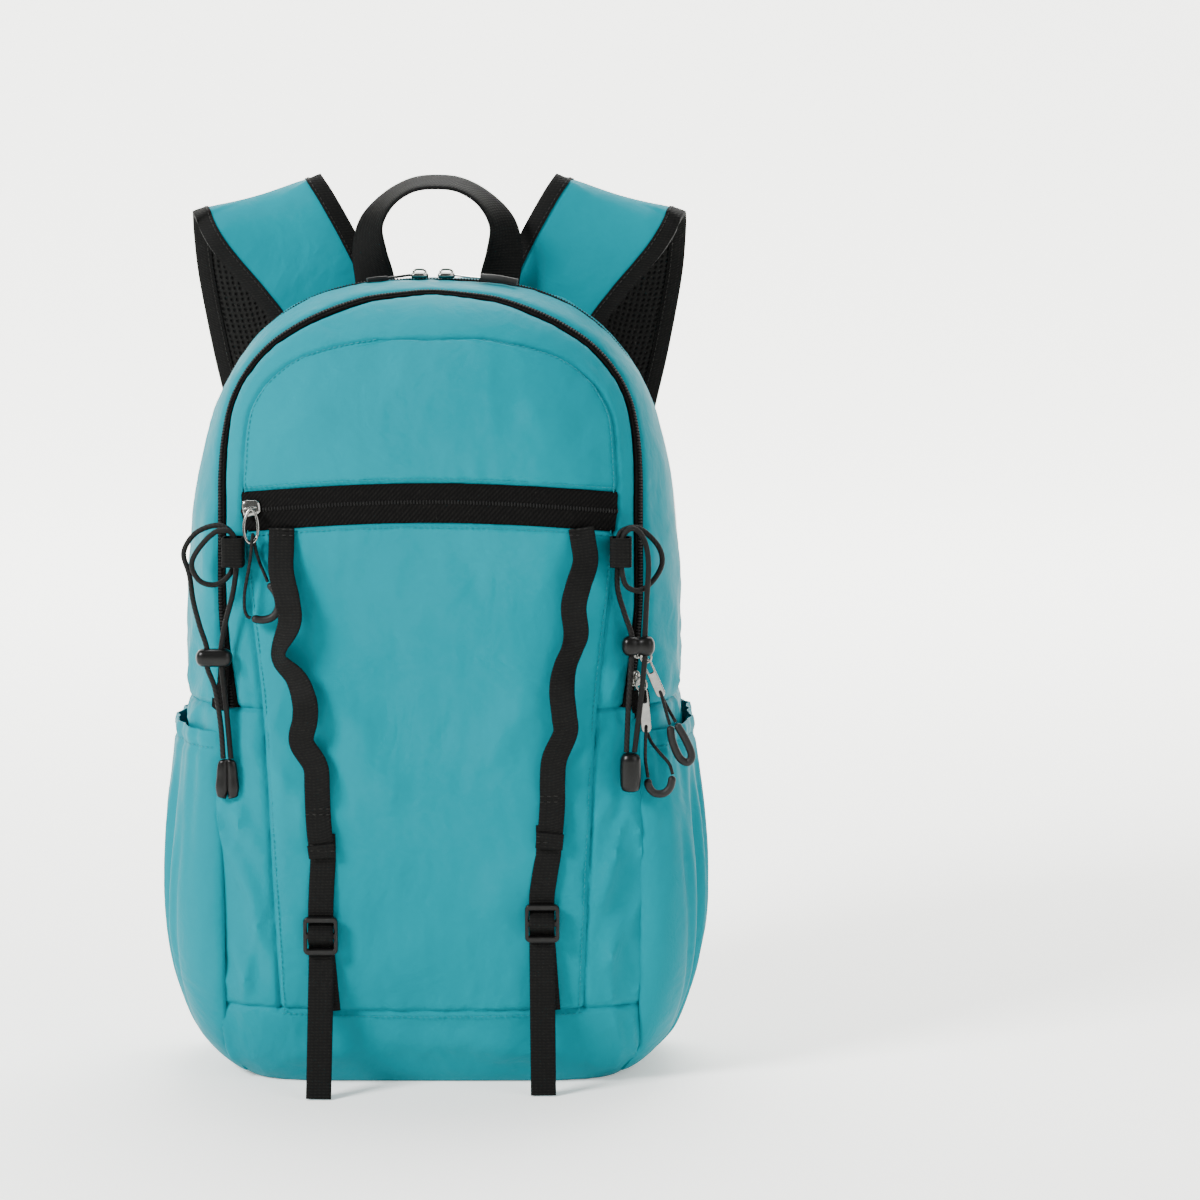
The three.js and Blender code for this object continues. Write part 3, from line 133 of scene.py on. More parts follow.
sweep_radius, sweep_start, sweep_side, sweep_near, sweep_top = 1500.0, 2600.0, 9000.0, -6000, 7000
sweep_end = sweep_start + sweep_radius
turn = np.linspace(0, math.pi / 2, 24)
sweep_y = np.concatenate([[sweep_near, 0], sweep_start + sweep_radius * np.sin(turn), [sweep_end]])
sweep_z = np.concatenate([[0, 0], sweep_radius * (1 - np.cos(turn)), [sweep_top]])
sweep = np.array([[[x, y, z] for x in (-sweep_side, 0, sweep_side)] for y, z in zip(sweep_y, sweep_z)])
floor_faces = [[i * 3 + j, i * 3 + j + 1, (i + 1) * 3 + j + 1, (i + 1) * 3 + j]
               for i in range(len(sweep_y) - 1) for j in range(2)]
floor = new_piece("studio_sweep", sweep.reshape(-1, 3), floor_faces, [paper])

world = bpy.data.worlds.new("bright_room")
world.use_nodes = True
world.node_tree.nodes["Background"].inputs["Color"].default_value = linear("#F4F6F5")
world.node_tree.nodes["Background"].inputs["Strength"].default_value = 0.3
bpy.context.scene.world = world

for lamp_name, spot, aim, size, power in (
        ("key_softbox", (-2.1, -1.7, 2.0), (0, 0, 0.25), 0.9, 215.0),
        ("fill_softbox", (1.9, -1.7, 1.3), (0, 0, 0.2), 1.8, 40.0),
        ("top_softbox", (0.2, 0.9, 2.3), (0, 0, 0.3), 1.6, 85.0)):
    lamp = bpy.data.lights.new(lamp_name, "AREA")
    lamp.size, lamp.energy = size, power
    lamp_stand = into_scene(lamp_name, lamp)
    lamp_stand.location = spot
    lamp_stand.rotation_euler = (Vector(aim) - Vector(spot)).to_track_quat("-Z", "Y").to_euler()

camera = bpy.data.cameras.new("studio_camera")
camera.lens, camera.sensor_width, camera.clip_end = 118.5, 36.0, 60.0
camera_stand = into_scene("studio_camera", camera)
camera_stand.location = (0.0931, -2.2004, 0.5752)
camera_stand.rotation_euler = (math.radians(82), 0, 0)
bpy.context.scene.camera = camera_stand


# Teal nylon: plain-woven 70 denier nylon with a soft coating behind it. It is dyed in the piece, so the
# colour is even apart from a faint cloudiness, it is nearly matt, and it creases finely. The real
# threads are 0.2 mm apart, too fine to show, so the weave is drawn at 1.1 mm.
def wave(tree, spacing, direction):
    """Even bands that lie spacing mm apart along one direction of the piece's map, which is in metres."""
    return put(tree, "ShaderNodeTexWave", {"bands_direction": direction}, {
        "Vector": put(tree, "ShaderNodeTexCoord").outputs["UV"], "Scale": 0.31416 / (spacing * 0.001),
        "Distortion": 0.0, "Detail": 1.0}).outputs["Fac"]


def combine(tree, operation, first, second):
    """The value of one sum or product of sockets or numbers."""
    return put(tree, "ShaderNodeMath", {"operation": operation}, {0: first, 1: second}).outputs["Value"]


def bumped(tree, shader, *layers):
    """Lays bump layers over each other: each is a height, its strength and its depth in mm."""
    normal = None
    for height, strength, depth in layers:
        inputs = {"Height": height, "Strength": strength, "Distance": depth * 0.001}
        if normal is not None:
            inputs["Normal"] = normal
        normal = put(tree, "ShaderNodeBump", inputs=inputs).outputs["Normal"]
    tree.links.new(normal, shader.inputs["Normal"])


def tinted(tree, shader, share, low, high):
    """Colours the shader between two hex colours by a share from 0 to 1."""
    ramp = put(tree, "ShaderNodeMix", {"data_type": "RGBA"}, {"Factor": share})
    ramp.inputs[6].default_value = linear(low)
    ramp.inputs[7].default_value = linear(high)
    tree.links.new(ramp.outputs[2], shader.inputs["Base Color"])


teal_nylon, tree, shader = material("woven_nylon_teal", Roughness=0.5, Specular_IOR_Level=0.05,
                                    Specular_Tint=linear("#00C4DA"))
tinted(tree, shader, mottle(tree, 11.0, Detail=5.0), "#00636F", "#00747F")
plain_weave = combine(tree, "MULTIPLY", wave(tree, 1.1, "X"), wave(tree, 1.1, "Y"))
crumple = mottle(tree, 75.0, Detail=6.0, Roughness=0.55, Distortion=0.6)
rumple = mottle(tree, 22.0, Detail=3.0, Distortion=1.2)
bumped(tree, shader, (rumple, 0.55, 3.4), (crumple, 0.6, 1.0), (plain_weave, 0.12, 0.12))


# Body panels: teal nylon cut to shape and sewn edge to edge, so that each seam draws the cloth down into
# a fine puckered line. An arched front panel over a pocket panel, gussets between the zips, two side
# panels and a base that folds under, all hanging softly over what the bag holds.
height, half_width, waist, flattening = 445.0, 137.0, 255.0, 11.0
crown_power, base_power = 2.8, 6.0
ridge_y, front_depth, back_depth, back_power = 15.0, 90.0, 55.0, 6.0
cloth_wall = 1.2
dents = (  # side and level as shares of half the width and of the height, spreads alike, depth in mm
    (-0.72, 0.4, 0.09, 0.1, 2.2), (0.72, 0.38, 0.09, 0.12, 2.4), (-0.1, 0.5, 0.3, 0.08, 1.5),
    (0.28, 0.62, 0.2, 0.05, 1.2), (-0.78, 0.22, 0.08, 0.1, 2.0), (0.8, 0.2, 0.08, 0.1, 2.0))


def outline_form(z):
    """Rise over the waist, and the power and the reach of the widest outline there."""
    rise = np.asarray(z) - waist
    power = np.where(rise > 0, crown_power, base_power)
    return rise, power, np.where(rise > 0, height - waist, waist + flattening)


def outline_gauge(x, z):
    rise, power, reach = outline_form(z)
    return ((np.abs(x) / half_width) ** power + (np.abs(rise) / reach) ** power) ** (1 / power)


def body_surface(x, z, front=True):
    """Points of the bag's skin at places of the front view, and the directions out of it."""
    x, z = (np.array(v, dtype=float) for v in np.broadcast_arrays(x, z))
    gauge = np.clip(outline_gauge(x, z), 1e-6, 1)
    ease = np.clip((0.7 * height - z) / (0.58 * height), 0, 1)
    power = 3 + 1.4 * ease ** 2 * (3 - 2 * ease) if front else np.full_like(x, back_power)
    depth, sign = (front_depth, -1) if front else (back_depth, 1)
    swell = np.maximum(0, 1 - gauge ** power) ** (1 / power)
    rise, outline_power, reach = outline_form(z)
    slope = power * gauge ** (power - outline_power)
    out = np.stack([
        np.sign(x) * slope * (np.abs(x) / half_width) ** (outline_power - 1) / half_width,
        sign * power * swell ** (power - 1) / depth,
        np.sign(rise) * slope * (np.abs(rise) / reach) ** (outline_power - 1) / reach], axis=-1)
    out /= np.maximum(np.linalg.norm(out, axis=-1, keepdims=True), 1e-9)
    point = np.stack([x, ridge_y + sign * depth * swell, z], axis=-1)
    if front:
        dent = sum(d * np.exp(-((x / half_width - s) / w) ** 2 - ((z / height - v) / h) ** 2)
                   for s, v, w, h, d in dents)
        point -= out * dent[..., None]
    under = point[..., 2] < 0
    point[under, 2] = 0
    out[under] = (0, 0, -1)
    return point, out


def spline(rows, places):
    """A smooth line through rows of numbers, at places counted in rows."""
    rows = np.asarray(rows, dtype=float)
    table = rows[:, None] if rows.ndim == 1 else rows
    table = np.vstack([2 * table[0] - table[1], table, 2 * table[-1] - table[-2]])
    places = np.clip(np.asarray(places, dtype=float), 0, len(rows) - 1)
    i = np.minimum(places.astype(int), len(rows) - 2)
    t = (places - i)[:, None]
    a, b, c, d = (table[i + k] for k in range(4))
    bend, twist = 2 * a - 5 * b + 4 * c - d, 3 * b - a - 3 * c + d
    line = 0.5 * (2 * b + (c - a) * t + bend * t ** 2 + twist * t ** 3)
    return line[:, 0] if rows.ndim == 1 else line


def smooth_line(rows, count):
    """The smooth line through all the rows, at count places evenly spread over them."""
    return spline(rows, np.linspace(0, len(rows) - 1, count))


def travelled(points, axis):
    """Length travelled along one axis of a grid of points, in mm."""
    steps = np.linalg.norm(np.diff(points, axis=axis), axis=-1)
    start = np.zeros_like(np.take(steps, [0], axis=axis))
    return np.concatenate([start, np.cumsum(steps, axis=axis)], axis=axis)


def surface(name, points, out, finishes, wall=0.0, wrap=False, capped=False, finish_of=None):
    """A piece from a grid of points: a sheet with a wall behind it, or a tube that wraps round."""
    rows, cols = points.shape[:2]
    steps = np.meshgrid(np.arange(rows - 1), np.arange(cols if wrap else cols - 1), indexing="ij")
    i, j = (step.ravel() for step in steps)
    corners = np.stack([np.stack(at) for at in ((i, j), (i, j + 1), (i + 1, j + 1), (i + 1, j))])
    faces = (corners[:, 0] * cols + corners[:, 1] % cols).T
    ring = np.concatenate([points, points[:, :1]], axis=1) if wrap else points
    along, across = travelled(points, 0), travelled(ring, 1)
    uv = np.stack([across[corners[:, 0], corners[:, 1]], along[corners[:, 0], corners[:, 1] % cols]], axis=-1)
    uv = uv.transpose(1, 0, 2)
    flat = points.reshape(-1, 3)
    a, b, c = (flat[faces[:, k]] for k in range(3))
    way = np.cross(b - a, c - a)
    centre_out = out.reshape(-1, 3)[faces[:, 0]]
    if np.sum(way * centre_out) < 0:
        faces, uv = faces[:, ::-1], uv[:, ::-1]
    chosen = None if finish_of is None else list(np.asarray(finish_of)[i, j])
    faces, uv, flat = list(faces), list(uv), [flat]
    if wall:
        count = rows * cols
        inner = (points - out * wall).reshape(-1, 3)
        grounded = points.reshape(-1, 3)[:, 2] < 0.01
        inner[:, 2] = np.where(grounded, np.minimum(inner[:, 2], wall), inner[:, 2])
        flat.append(inner)
        shell = [f[::-1] + count for f in faces]
        edges = {edge: True for f in faces for edge in zip(f, np.roll(f, -1))}
        rims = [(p, q) for p, q in edges if (q, p) not in edges]
        uv += [u[::-1] for u in uv]
        faces += shell
        faces += [np.array([q, p, p + count, q + count]) for p, q in rims]
        uv += [np.zeros((4, 2))] * len(rims)
        if chosen is not None:
            chosen = chosen * 2 + [chosen[0]] * len(rims)
    if capped:
        for ring_faces in (np.arange(cols), np.arange(cols) + (rows - 1) * cols):
            normal_way = np.cross(flat[0][ring_faces[1]] - flat[0][ring_faces[0]],
                                  flat[0][ring_faces[cols // 2]] - flat[0][ring_faces[0]])
            ends = points[0].mean(axis=0) - points[-1].mean(axis=0)
            ends = ends if ring_faces[0] == 0 else -ends
            if np.dot(normal_way, ends) < 0:
                ring_faces = ring_faces[::-1]
            faces.append(ring_faces)
            uv.append(np.zeros((cols, 2)))
            if chosen is not None:
                chosen.append(chosen[0])
    return new_piece(name, np.concatenate(flat), faces, finishes, np.concatenate(uv), chosen)


beside_seams, beside_zips, beside_hem = (0, 0.7, 1.6, 3.0, 5.0), (0, 0.7, 1.6, 3.0), (0, 0.8, 1.8, 3.2, 5.0)


def graded(length, count, beside=beside_seams):
    """Places from one seam to the next, close together beside both."""
    beside = np.asarray(beside, dtype=float)
    length = np.asarray(length, dtype=float)[..., None]
    inner = beside[-1] + (length - 2 * beside[-1]) * np.linspace(0, 1, count)
    near = np.broadcast_to(beside[:-1], inner.shape[:-1] + (len(beside) - 1,))
    far = length - beside[-2::-1]
    return np.concatenate([near, inner, far], axis=-1)


def wander(points, size, seed):
    """Smooth noise from -1 to 1 at each point, whose waves are size mm long."""
    spread = np.asarray(points).reshape(-1, 3) / np.asarray(size)
    values = [noise.noise(Vector((p[0] + seed, p[1] - 2 * seed, p[2] + 3 * seed))) for p in spread]
    return np.array(values).reshape(np.asarray(points).shape[:-1])


folds = (  # soft folds: middle x and z in mm, run x and z, half width and height, all in mm
    (-99, 118, 12, -34, 5.0, 2.0), (-94, 92, 10, -26, 4.5, 1.6), (-101, 150, 14, -24, 5.0, 1.8),
    (-104, 70, 6, -26, 5.0, 1.8), (-88, 186, 22, -26, 6.0, 1.8), (-96, 214, 18, -20, 5.0, 1.3),
    (98, 120, -12, -34, 5.0, 1.9), (102, 84, -8, -30, 5.0, 1.8), (94, 158, -16, -24, 5.0, 1.5),
    (90, 196, -18, -22, 5.5, 1.6), (100, 226, -14, -18, 5.0, 1.2),
    (-46, 214, 34, -30, 10.0, 1.7), (-34, 182, 40, -24, 11.0, 1.3), (46, 206, -24, -34, 10.0, 1.5),
    (40, 120, 24, 40, 13.0, 1.1), (-20, 80, 42, 16, 12.0, 1.0), (-70, 376, 30, 10, 10.0, 0.9),
    (64, 372, -26, 14, 10.0, 0.9), (10, 396, 60, -4, 9.0, 0.7), (-118, 300, 4, -40, 6.0, 1.3),
    (119, 286, -4, -46, 6.0, 1.4), (-60, 22, 40, 5, 7.0, 1.4), (48, 20, -44, 6, 7.0, 1.4),
    (0, 28, 70, -3, 8.0, 0.9))


def sag(points):
    """How far the soft cloth stands proud of its even form, in mm."""
    x, y, z = points[..., 0], points[..., 1], points[..., 2]
    side = np.clip((np.abs(x) - 78) / 30, 0, 1) * np.clip((300 - z) / 90, 0, 1)
    lift = 1.1 * wander(points, (60, 60, 95), 1.7) + (0.35 + 0.5 * side) * wander(points, (17, 21, 30), 5.1)
    crease = 1 - np.abs(wander(points, (15, 30, 44), 9.3))
    lift = lift + (0.25 + 1.1 * side) * crease ** 6 + 0.1 * wander(points, 6.0, 13.0)
    front = np.clip((20 - y) / 50, 0, 1)
    for fx, fz, rx, rz, width, rise in folds:
        run = math.hypot(rx, rz)
        along = ((x - fx) * rx + (z - fz) * rz) / run / run
        off = ((x - fx) * rz - (z - fz) * rx) / run / width
        lift = lift + front * rise * np.exp(-(2 * along) ** 4 - off ** 2 + 0.4 * off)
    return 1.9 * lift * np.clip(z / 14, 0, 1)


seam_depth = 1.8


def sewn(points, out, pucker=0.5):
    """Draws a panel down and puckers it at its seams: top and bottom rows, left and right columns."""
    down, over = travelled(points, 0), travelled(points, 1)
    gaps = {"t": (down, over), "b": (down[-1:] - down, over),
            "l": (over, down), "r": (over[:, -1:] - over, down)}
    lift = sag(points)
    edge_ease = np.ones_like(lift)
    for seam, (gap, along) in gaps.items():
        ripple = wander(np.stack([along / 4.2, 0 * along, 0 * along], -1), 1.0, ord(seam) * 0.37)
        ripple = ripple + 0.6 * wander(np.stack([along / 11, gap / 22, 0 * along], -1), 1.0, ord(seam) * 0.11)
        lift = lift + pucker * 2.1 * ripple * np.exp(-gap / 6.5) * np.clip(gap / 1.2, 0, 1)
        lift = lift - seam_depth * np.exp(-(gap / 1.5) ** 2)
        edge_ease = edge_ease * np.clip(gap / 9, 0, 1)
    lift = lift - sag(points) * (1 - edge_ease) * 0.75
    moved = points + out * lift[..., None]
    moved[..., 2] = np.maximum(moved[..., 2], 0)
    return moved


# Rows of the arched seam round the front panel, from the crown down to the base seam: half the panel's
# width as a share of 103 mm, and how far its ends hang below its middle.
panel_half = 103.0
crown_seam, zip_top, zip_drop, base_seam = 417.0, 340.0, 21.5, 44.5
upper = ((0, 0.28, 0.6), (0.06, 0.505, 0), (0.145, 0.704, 0), (0.26, 0.83, 0), (0.39, 0.913, 0),
         (0.54, 0.967, 0), (0.71, 0.989, 2.5), (1, 1, 6.5))
pocket_run = zip_top - zip_drop - base_seam
lower = ((0, 0.985, 6.5), (0.12, 0.964, 3), (0.25, 0.93, 0), (1 - (215 - base_seam) / pocket_run, 0.895, 0),
         (0.5, 0.876, 0), (0.64, 0.858, 0), (0.78, 0.84, 0), (0.9, 0.826, 0), (1, 0.816, -2))
seam_rows = np.array([[crown_seam - f * (crown_seam - zip_top), w * panel_half, s] for f, w, s in upper]
                     + [[zip_top - zip_drop - f * pocket_run, w * panel_half, s] for f, w, s in lower])
band_row, side_row, last_row = 7, 11, 16


def seam_at(rows):
    """Level, half width and hang of the front panel's side seam, in mm."""
    return spline(seam_rows, rows).T


def rows_between(first, last, count):
    """Row places from one seam to the next, close together beside both."""
    fine = np.linspace(first, last, 400)
    level = seam_at(fine)[0]
    return np.interp(graded(level[0] - level[-1], count), level[0] - level, fine)


def front_panel(rows, columns):
    level, half, hang = seam_at(rows)
    over = graded(2 * half, columns) - half[:, None]
    share = over / half[:, None]
    return body_surface(over, level[:, None] - hang[:, None] * share ** 2)


for panel_name, first, last, row_count in (
        ("front_upper_panel", 0, band_row, 34), ("front_pocket_panel", band_row + 1, last_row, 96)):
    skin_points, skin_out = front_panel(rows_between(first, last, row_count), 74)
    panel = surface(panel_name + "_cloth", sewn(skin_points, skin_out), skin_out, [teal_nylon], cloth_wall)
    dress(panel, "teal_nylon", panel_name)

# The wrap: columns start on the front panel's seam, run out over the widest outline and end on the back
# seam. Low ones run level, high ones fan out, and those of the base run down and under.
spring, base_lean, back_seam_share = 0.75 * height, 0.3, 0.93
fan = math.pi / 2 - math.atan(base_lean)


def wrap_columns(starts, ways):
    """Where columns start, where they cross the widest outline and where they end, in the front view."""
    low, high = np.zeros(len(starts)), 4 * height / np.linalg.norm(ways, axis=1)
    for _ in range(50):
        middle = (low + high) / 2
        place = starts + ways * middle[:, None]
        inside = outline_gauge(place[:, 0], place[:, 1]) < 1
        low, high = np.where(inside, middle, low), np.where(inside, high, middle)
    rims = starts + ways * low[:, None]
    backs = np.stack([rims[:, 0] * back_seam_share, waist + (rims[:, 1] - waist) * back_seam_share], 1)
    return starts, rims, backs


def side_columns(rows, hand):
    level, half, hang = seam_at(rows)
    starts = np.stack([hand * half, level - hang], 1)
    ways = np.where((starts[:, 1] <= spring)[:, None], [[hand, 0.0]], starts - [0, spring])
    return starts, ways


crown_share = np.linspace(-1, 1, 34)[1:-1]
crown_starts = np.stack([crown_share * seam_rows[0, 1], crown_seam - 0.6 * crown_share ** 2], 1)
zip_rows = np.concatenate([np.linspace(side_row, band_row, 66)[:-1], np.linspace(band_row, 0, 84)])
left_starts, left_ways = side_columns(zip_rows, -1)
right_starts, right_ways = side_columns(zip_rows[::-1], 1)
arch = wrap_columns(np.concatenate([left_starts, crown_starts, right_starts]),
                    np.concatenate([left_ways, crown_starts - [0, spring], right_ways]))
travel = np.linspace(0, 1, 241)
ahead_share, behind_share = 1 - (1 - travel) ** 3, travel ** 3  # close together at the widest outline


def wrap_paths(starts, rims, backs):
    """Points and directions from each start out to the widest outline, and from there to the back seam."""
    a = starts[:, None] + (rims - starts)[:, None] * ahead_share[None, :, None]
    b = rims[:, None] + (backs - rims)[:, None] * behind_share[None, :, None]
    return body_surface(a[..., 0], a[..., 1]), body_surface(b[..., 0], b[..., 1], front=False)


def along_paths(path, lengths):
    """Points and directions at given lengths along each column's path."""
    points, out = path
    run = travelled(points, 1)
    spots, ways = [np.empty(lengths.shape + (3,)) for _ in range(2)]
    for n in range(len(points)):
        for k in range(3):
            spots[n, :, k] = np.interp(lengths[n], run[n], points[n, :, k])
            ways[n, :, k] = np.interp(lengths[n], run[n], out[n, :, k])
    return spots, ways / np.linalg.norm(ways, axis=-1, keepdims=True)


zip_crown, zip_half, front_tape, main_tape = 441.5, 115.0, 6.0, 7.0
zip_outline = np.array((
    (0, 0), (0.008, 0.3), (0.02, 0.45), (0.038, 0.61), (0.063, 0.757), (0.085, 0.843), (0.111, 0.913),
    (0.138, 0.96), (0.172, 0.987), (0.21, 1), (0.39, 1), (0.45, 0.98), (0.51, 0.945), (1, 0.9)))


def zip_half_at(z):
    return zip_half * np.interp((zip_crown - z) / zip_crown, *zip_outline.T)


arch_ahead, arch_behind = wrap_paths(*arch)
run_ahead = travelled(arch_ahead[0], 1)
ahead_x, _, ahead_z = np.moveaxis(arch_ahead[0], -1, 0)
past = np.maximum(np.abs(ahead_x) - zip_half_at(ahead_z), ahead_z - zip_crown)
zip_length = []
for n in range(len(past)):
    cross = int(np.argmax(past[n] > 0))
    t = past[n, cross - 1] / (past[n, cross - 1] - past[n, cross])
    zip_length.append(run_ahead[n, cross - 1] + t * (run_ahead[n, cross] - run_ahead[n, cross - 1]))
zip_edge = np.minimum(np.array(zip_length) + front_tape / 2, run_ahead[:, -1] - 3)
smoothing = np.hanning(17) / np.hanning(17).sum()
zip_edge = np.convolve(np.pad(zip_edge, 8, mode="edge"), smoothing, mode="valid")
total_ahead, total_behind = run_ahead[:, -1], travelled(arch_behind[0], 1)[:, -1]

gusset_bands = {
    "front_gusset": (arch_ahead, 0 * zip_edge, zip_edge - front_tape, 8),
    "middle_gusset": (arch_ahead, zip_edge, total_ahead, 14),
    "rear_gusset": (arch_behind, 0 * zip_edge + main_tape, total_behind, 16)}
for band_name, (path, near, far, count) in gusset_bands.items():
    lengths = near[:, None] + graded(far - near, count, beside_zips)
    skin_points, skin_out = along_paths(path, lengths)
    gusset = surface(band_name + "_cloth", sewn(skin_points, skin_out, pucker=0.22), skin_out, [teal_nylon],
                     cloth_wall)
    dress(gusset, "teal_nylon", band_name)


def whole_wrap(ahead, behind, count, beside):
    """A grid from paths ahead of the widest outline and the ones behind it, and each whole path's length."""
    joined = tuple(np.concatenate([a, b[:, 1:]], axis=1) for a, b in zip(ahead, behind))
    total = travelled(joined[0], 1)[:, -1]
    points, out = along_paths(joined, graded(total, count, beside))
    return points, out, total


low_rows = rows_between(side_row, last_row, 62)
corner = np.array([seam_rows[-1, 1], seam_rows[-1, 0] - seam_rows[-1, 2]])
angles = np.linspace(0, fan, 26)
under_share = np.linspace(1, -1, 90)[1:-1]
under_starts = np.stack([under_share * corner[0], base_seam + 2 * under_share ** 2], 1)
base_starts = np.concatenate([np.tile(corner, (26, 1)), under_starts, np.tile(corner * [-1, 1], (26, 1))])
base_ways = np.concatenate([
    np.stack([np.cos(angles), -np.sin(angles)], 1),
    np.stack([base_lean * under_share, -np.ones(88)], 1),
    np.stack([-np.cos(angles), -np.sin(angles)], 1)[::-1]])
low_columns = {
    "side_panel_left": wrap_columns(*side_columns(low_rows, -1)),
    "side_panel_right": wrap_columns(*side_columns(low_rows, 1)),
    "base_panel": wrap_columns(base_starts, base_ways)}
for panel_name, columns in low_columns.items():
    skin_points, skin_out, _ = whole_wrap(*wrap_paths(*columns), 72, beside_seams)
    panel = surface(panel_name + "_cloth", sewn(skin_points, skin_out), skin_out, [teal_nylon], cloth_wall)
    dress(panel, "teal_nylon", panel_name)


# Back panel: black spacer mesh over foam, one smooth padded piece that lies against the wearer's back.
# It is bound into the back seam all the way round. The photograph hides it, so it is finished plainly.
def pitted(tree, spacing):
    """Rows of round knitted holes, spacing mm apart, as a height from 0 to 1."""
    cells = put(tree, "ShaderNodeTexVoronoi", {"feature": "F1"}, {
        "Vector": put(tree, "ShaderNodeTexCoord").outputs["UV"], "Scale": 1000 / spacing, "Randomness": 0.12})
    return put(tree, "ShaderNodeMapRange", inputs={
        "Value": cells.outputs["Distance"], "From Min": 0.12, "From Max": 0.42}).outputs["Result"]


spacer_mesh, tree, shader = material("knitted_spacer_mesh", Roughness=0.88, Specular_IOR_Level=0.15)
holes = pitted(tree, 3.2)
# The holes take the darker colour: painted shade in them, on top of their own bump.
tinted(tree, shader, holes, "#020202", "#141413")
bumped(tree, shader, (holes, 0.9, 1.2))

rim_starts = np.concatenate([arch[2], low_columns["side_panel_right"][2][1:],
                             low_columns["base_panel"][2][1:], low_columns["side_panel_left"][2][::-1][1:-1]])
ring_share = np.concatenate([[1, 0.993, 0.985, 0.97], np.linspace(0.94, 0.03, 26)])
rings = rim_starts[None] * ring_share[:, None, None] + [0, waist] * (1 - ring_share[:, None, None])
skin_points, skin_out = body_surface(rings[..., 0], rings[..., 1], front=False)
gap = travelled(skin_points, 0)
lift = 1.2 * np.clip(gap / 12, 0, 1) * (1 + 0.5 * wander(skin_points, (70, 70, 90), 4.0))
lift = lift - 1.3 * np.exp(-(gap / 1.6) ** 2)
skin_points = skin_points + skin_out * (lift - 1.2)[..., None]
skin_points[..., 2] = np.maximum(skin_points[..., 2], 0)
hub = np.repeat(skin_points[-1:].mean(axis=1, keepdims=True), skin_points.shape[1], axis=1)
back = surface("back_panel_pad", np.concatenate([skin_points, hub + (skin_points[-1:] - hub) * 0.02]),
               np.concatenate([skin_out, skin_out[-1:]]), [spacer_mesh], wrap=True)
corner_points = np.empty(len(back.data.loops), dtype=np.int32)
back.data.loops.foreach_get("vertex_index", corner_points)
back.data.uv_layers[0].data.foreach_set("uv", vertex_places(back.data)[corner_points][:, [0, 2]].ravel())
dress(back, "spacer_mesh", "back_panel")


# Zips: nylon coil zips on woven black polyester tape, sewn in flat. A wide one closes the front pocket,
# a narrow one follows the arch of the front compartment and ends in cut tape on the sides, and the
# thin line of the main zip runs over the crown. The coil's turns are 1.7 mm apart.
zip_tape, tree, shader = material("woven_zip_tape", Roughness=0.8, Specular_IOR_Level=0.05)
twill = wave(tree, 1.3, "DIAGONAL")
tape_lines = wave(tree, 1.5, "Y")
fuzz = mottle(tree, 420.0, Detail=3.0)
tinted(tree, shader, combine(tree, "MULTIPLY", twill, fuzz), "#040404", "#151413")
bumped(tree, shader, (fuzz, 0.2, 0.3), (combine(tree, "ADD", twill, tape_lines), 0.35, 0.25))

coil_nylon, tree, shader = material("nylon_zip_coil", Roughness=0.5, Specular_IOR_Level=0.15)
tinted(tree, shader, mottle(tree, 160.0), "#040404", "#0E0E0D")


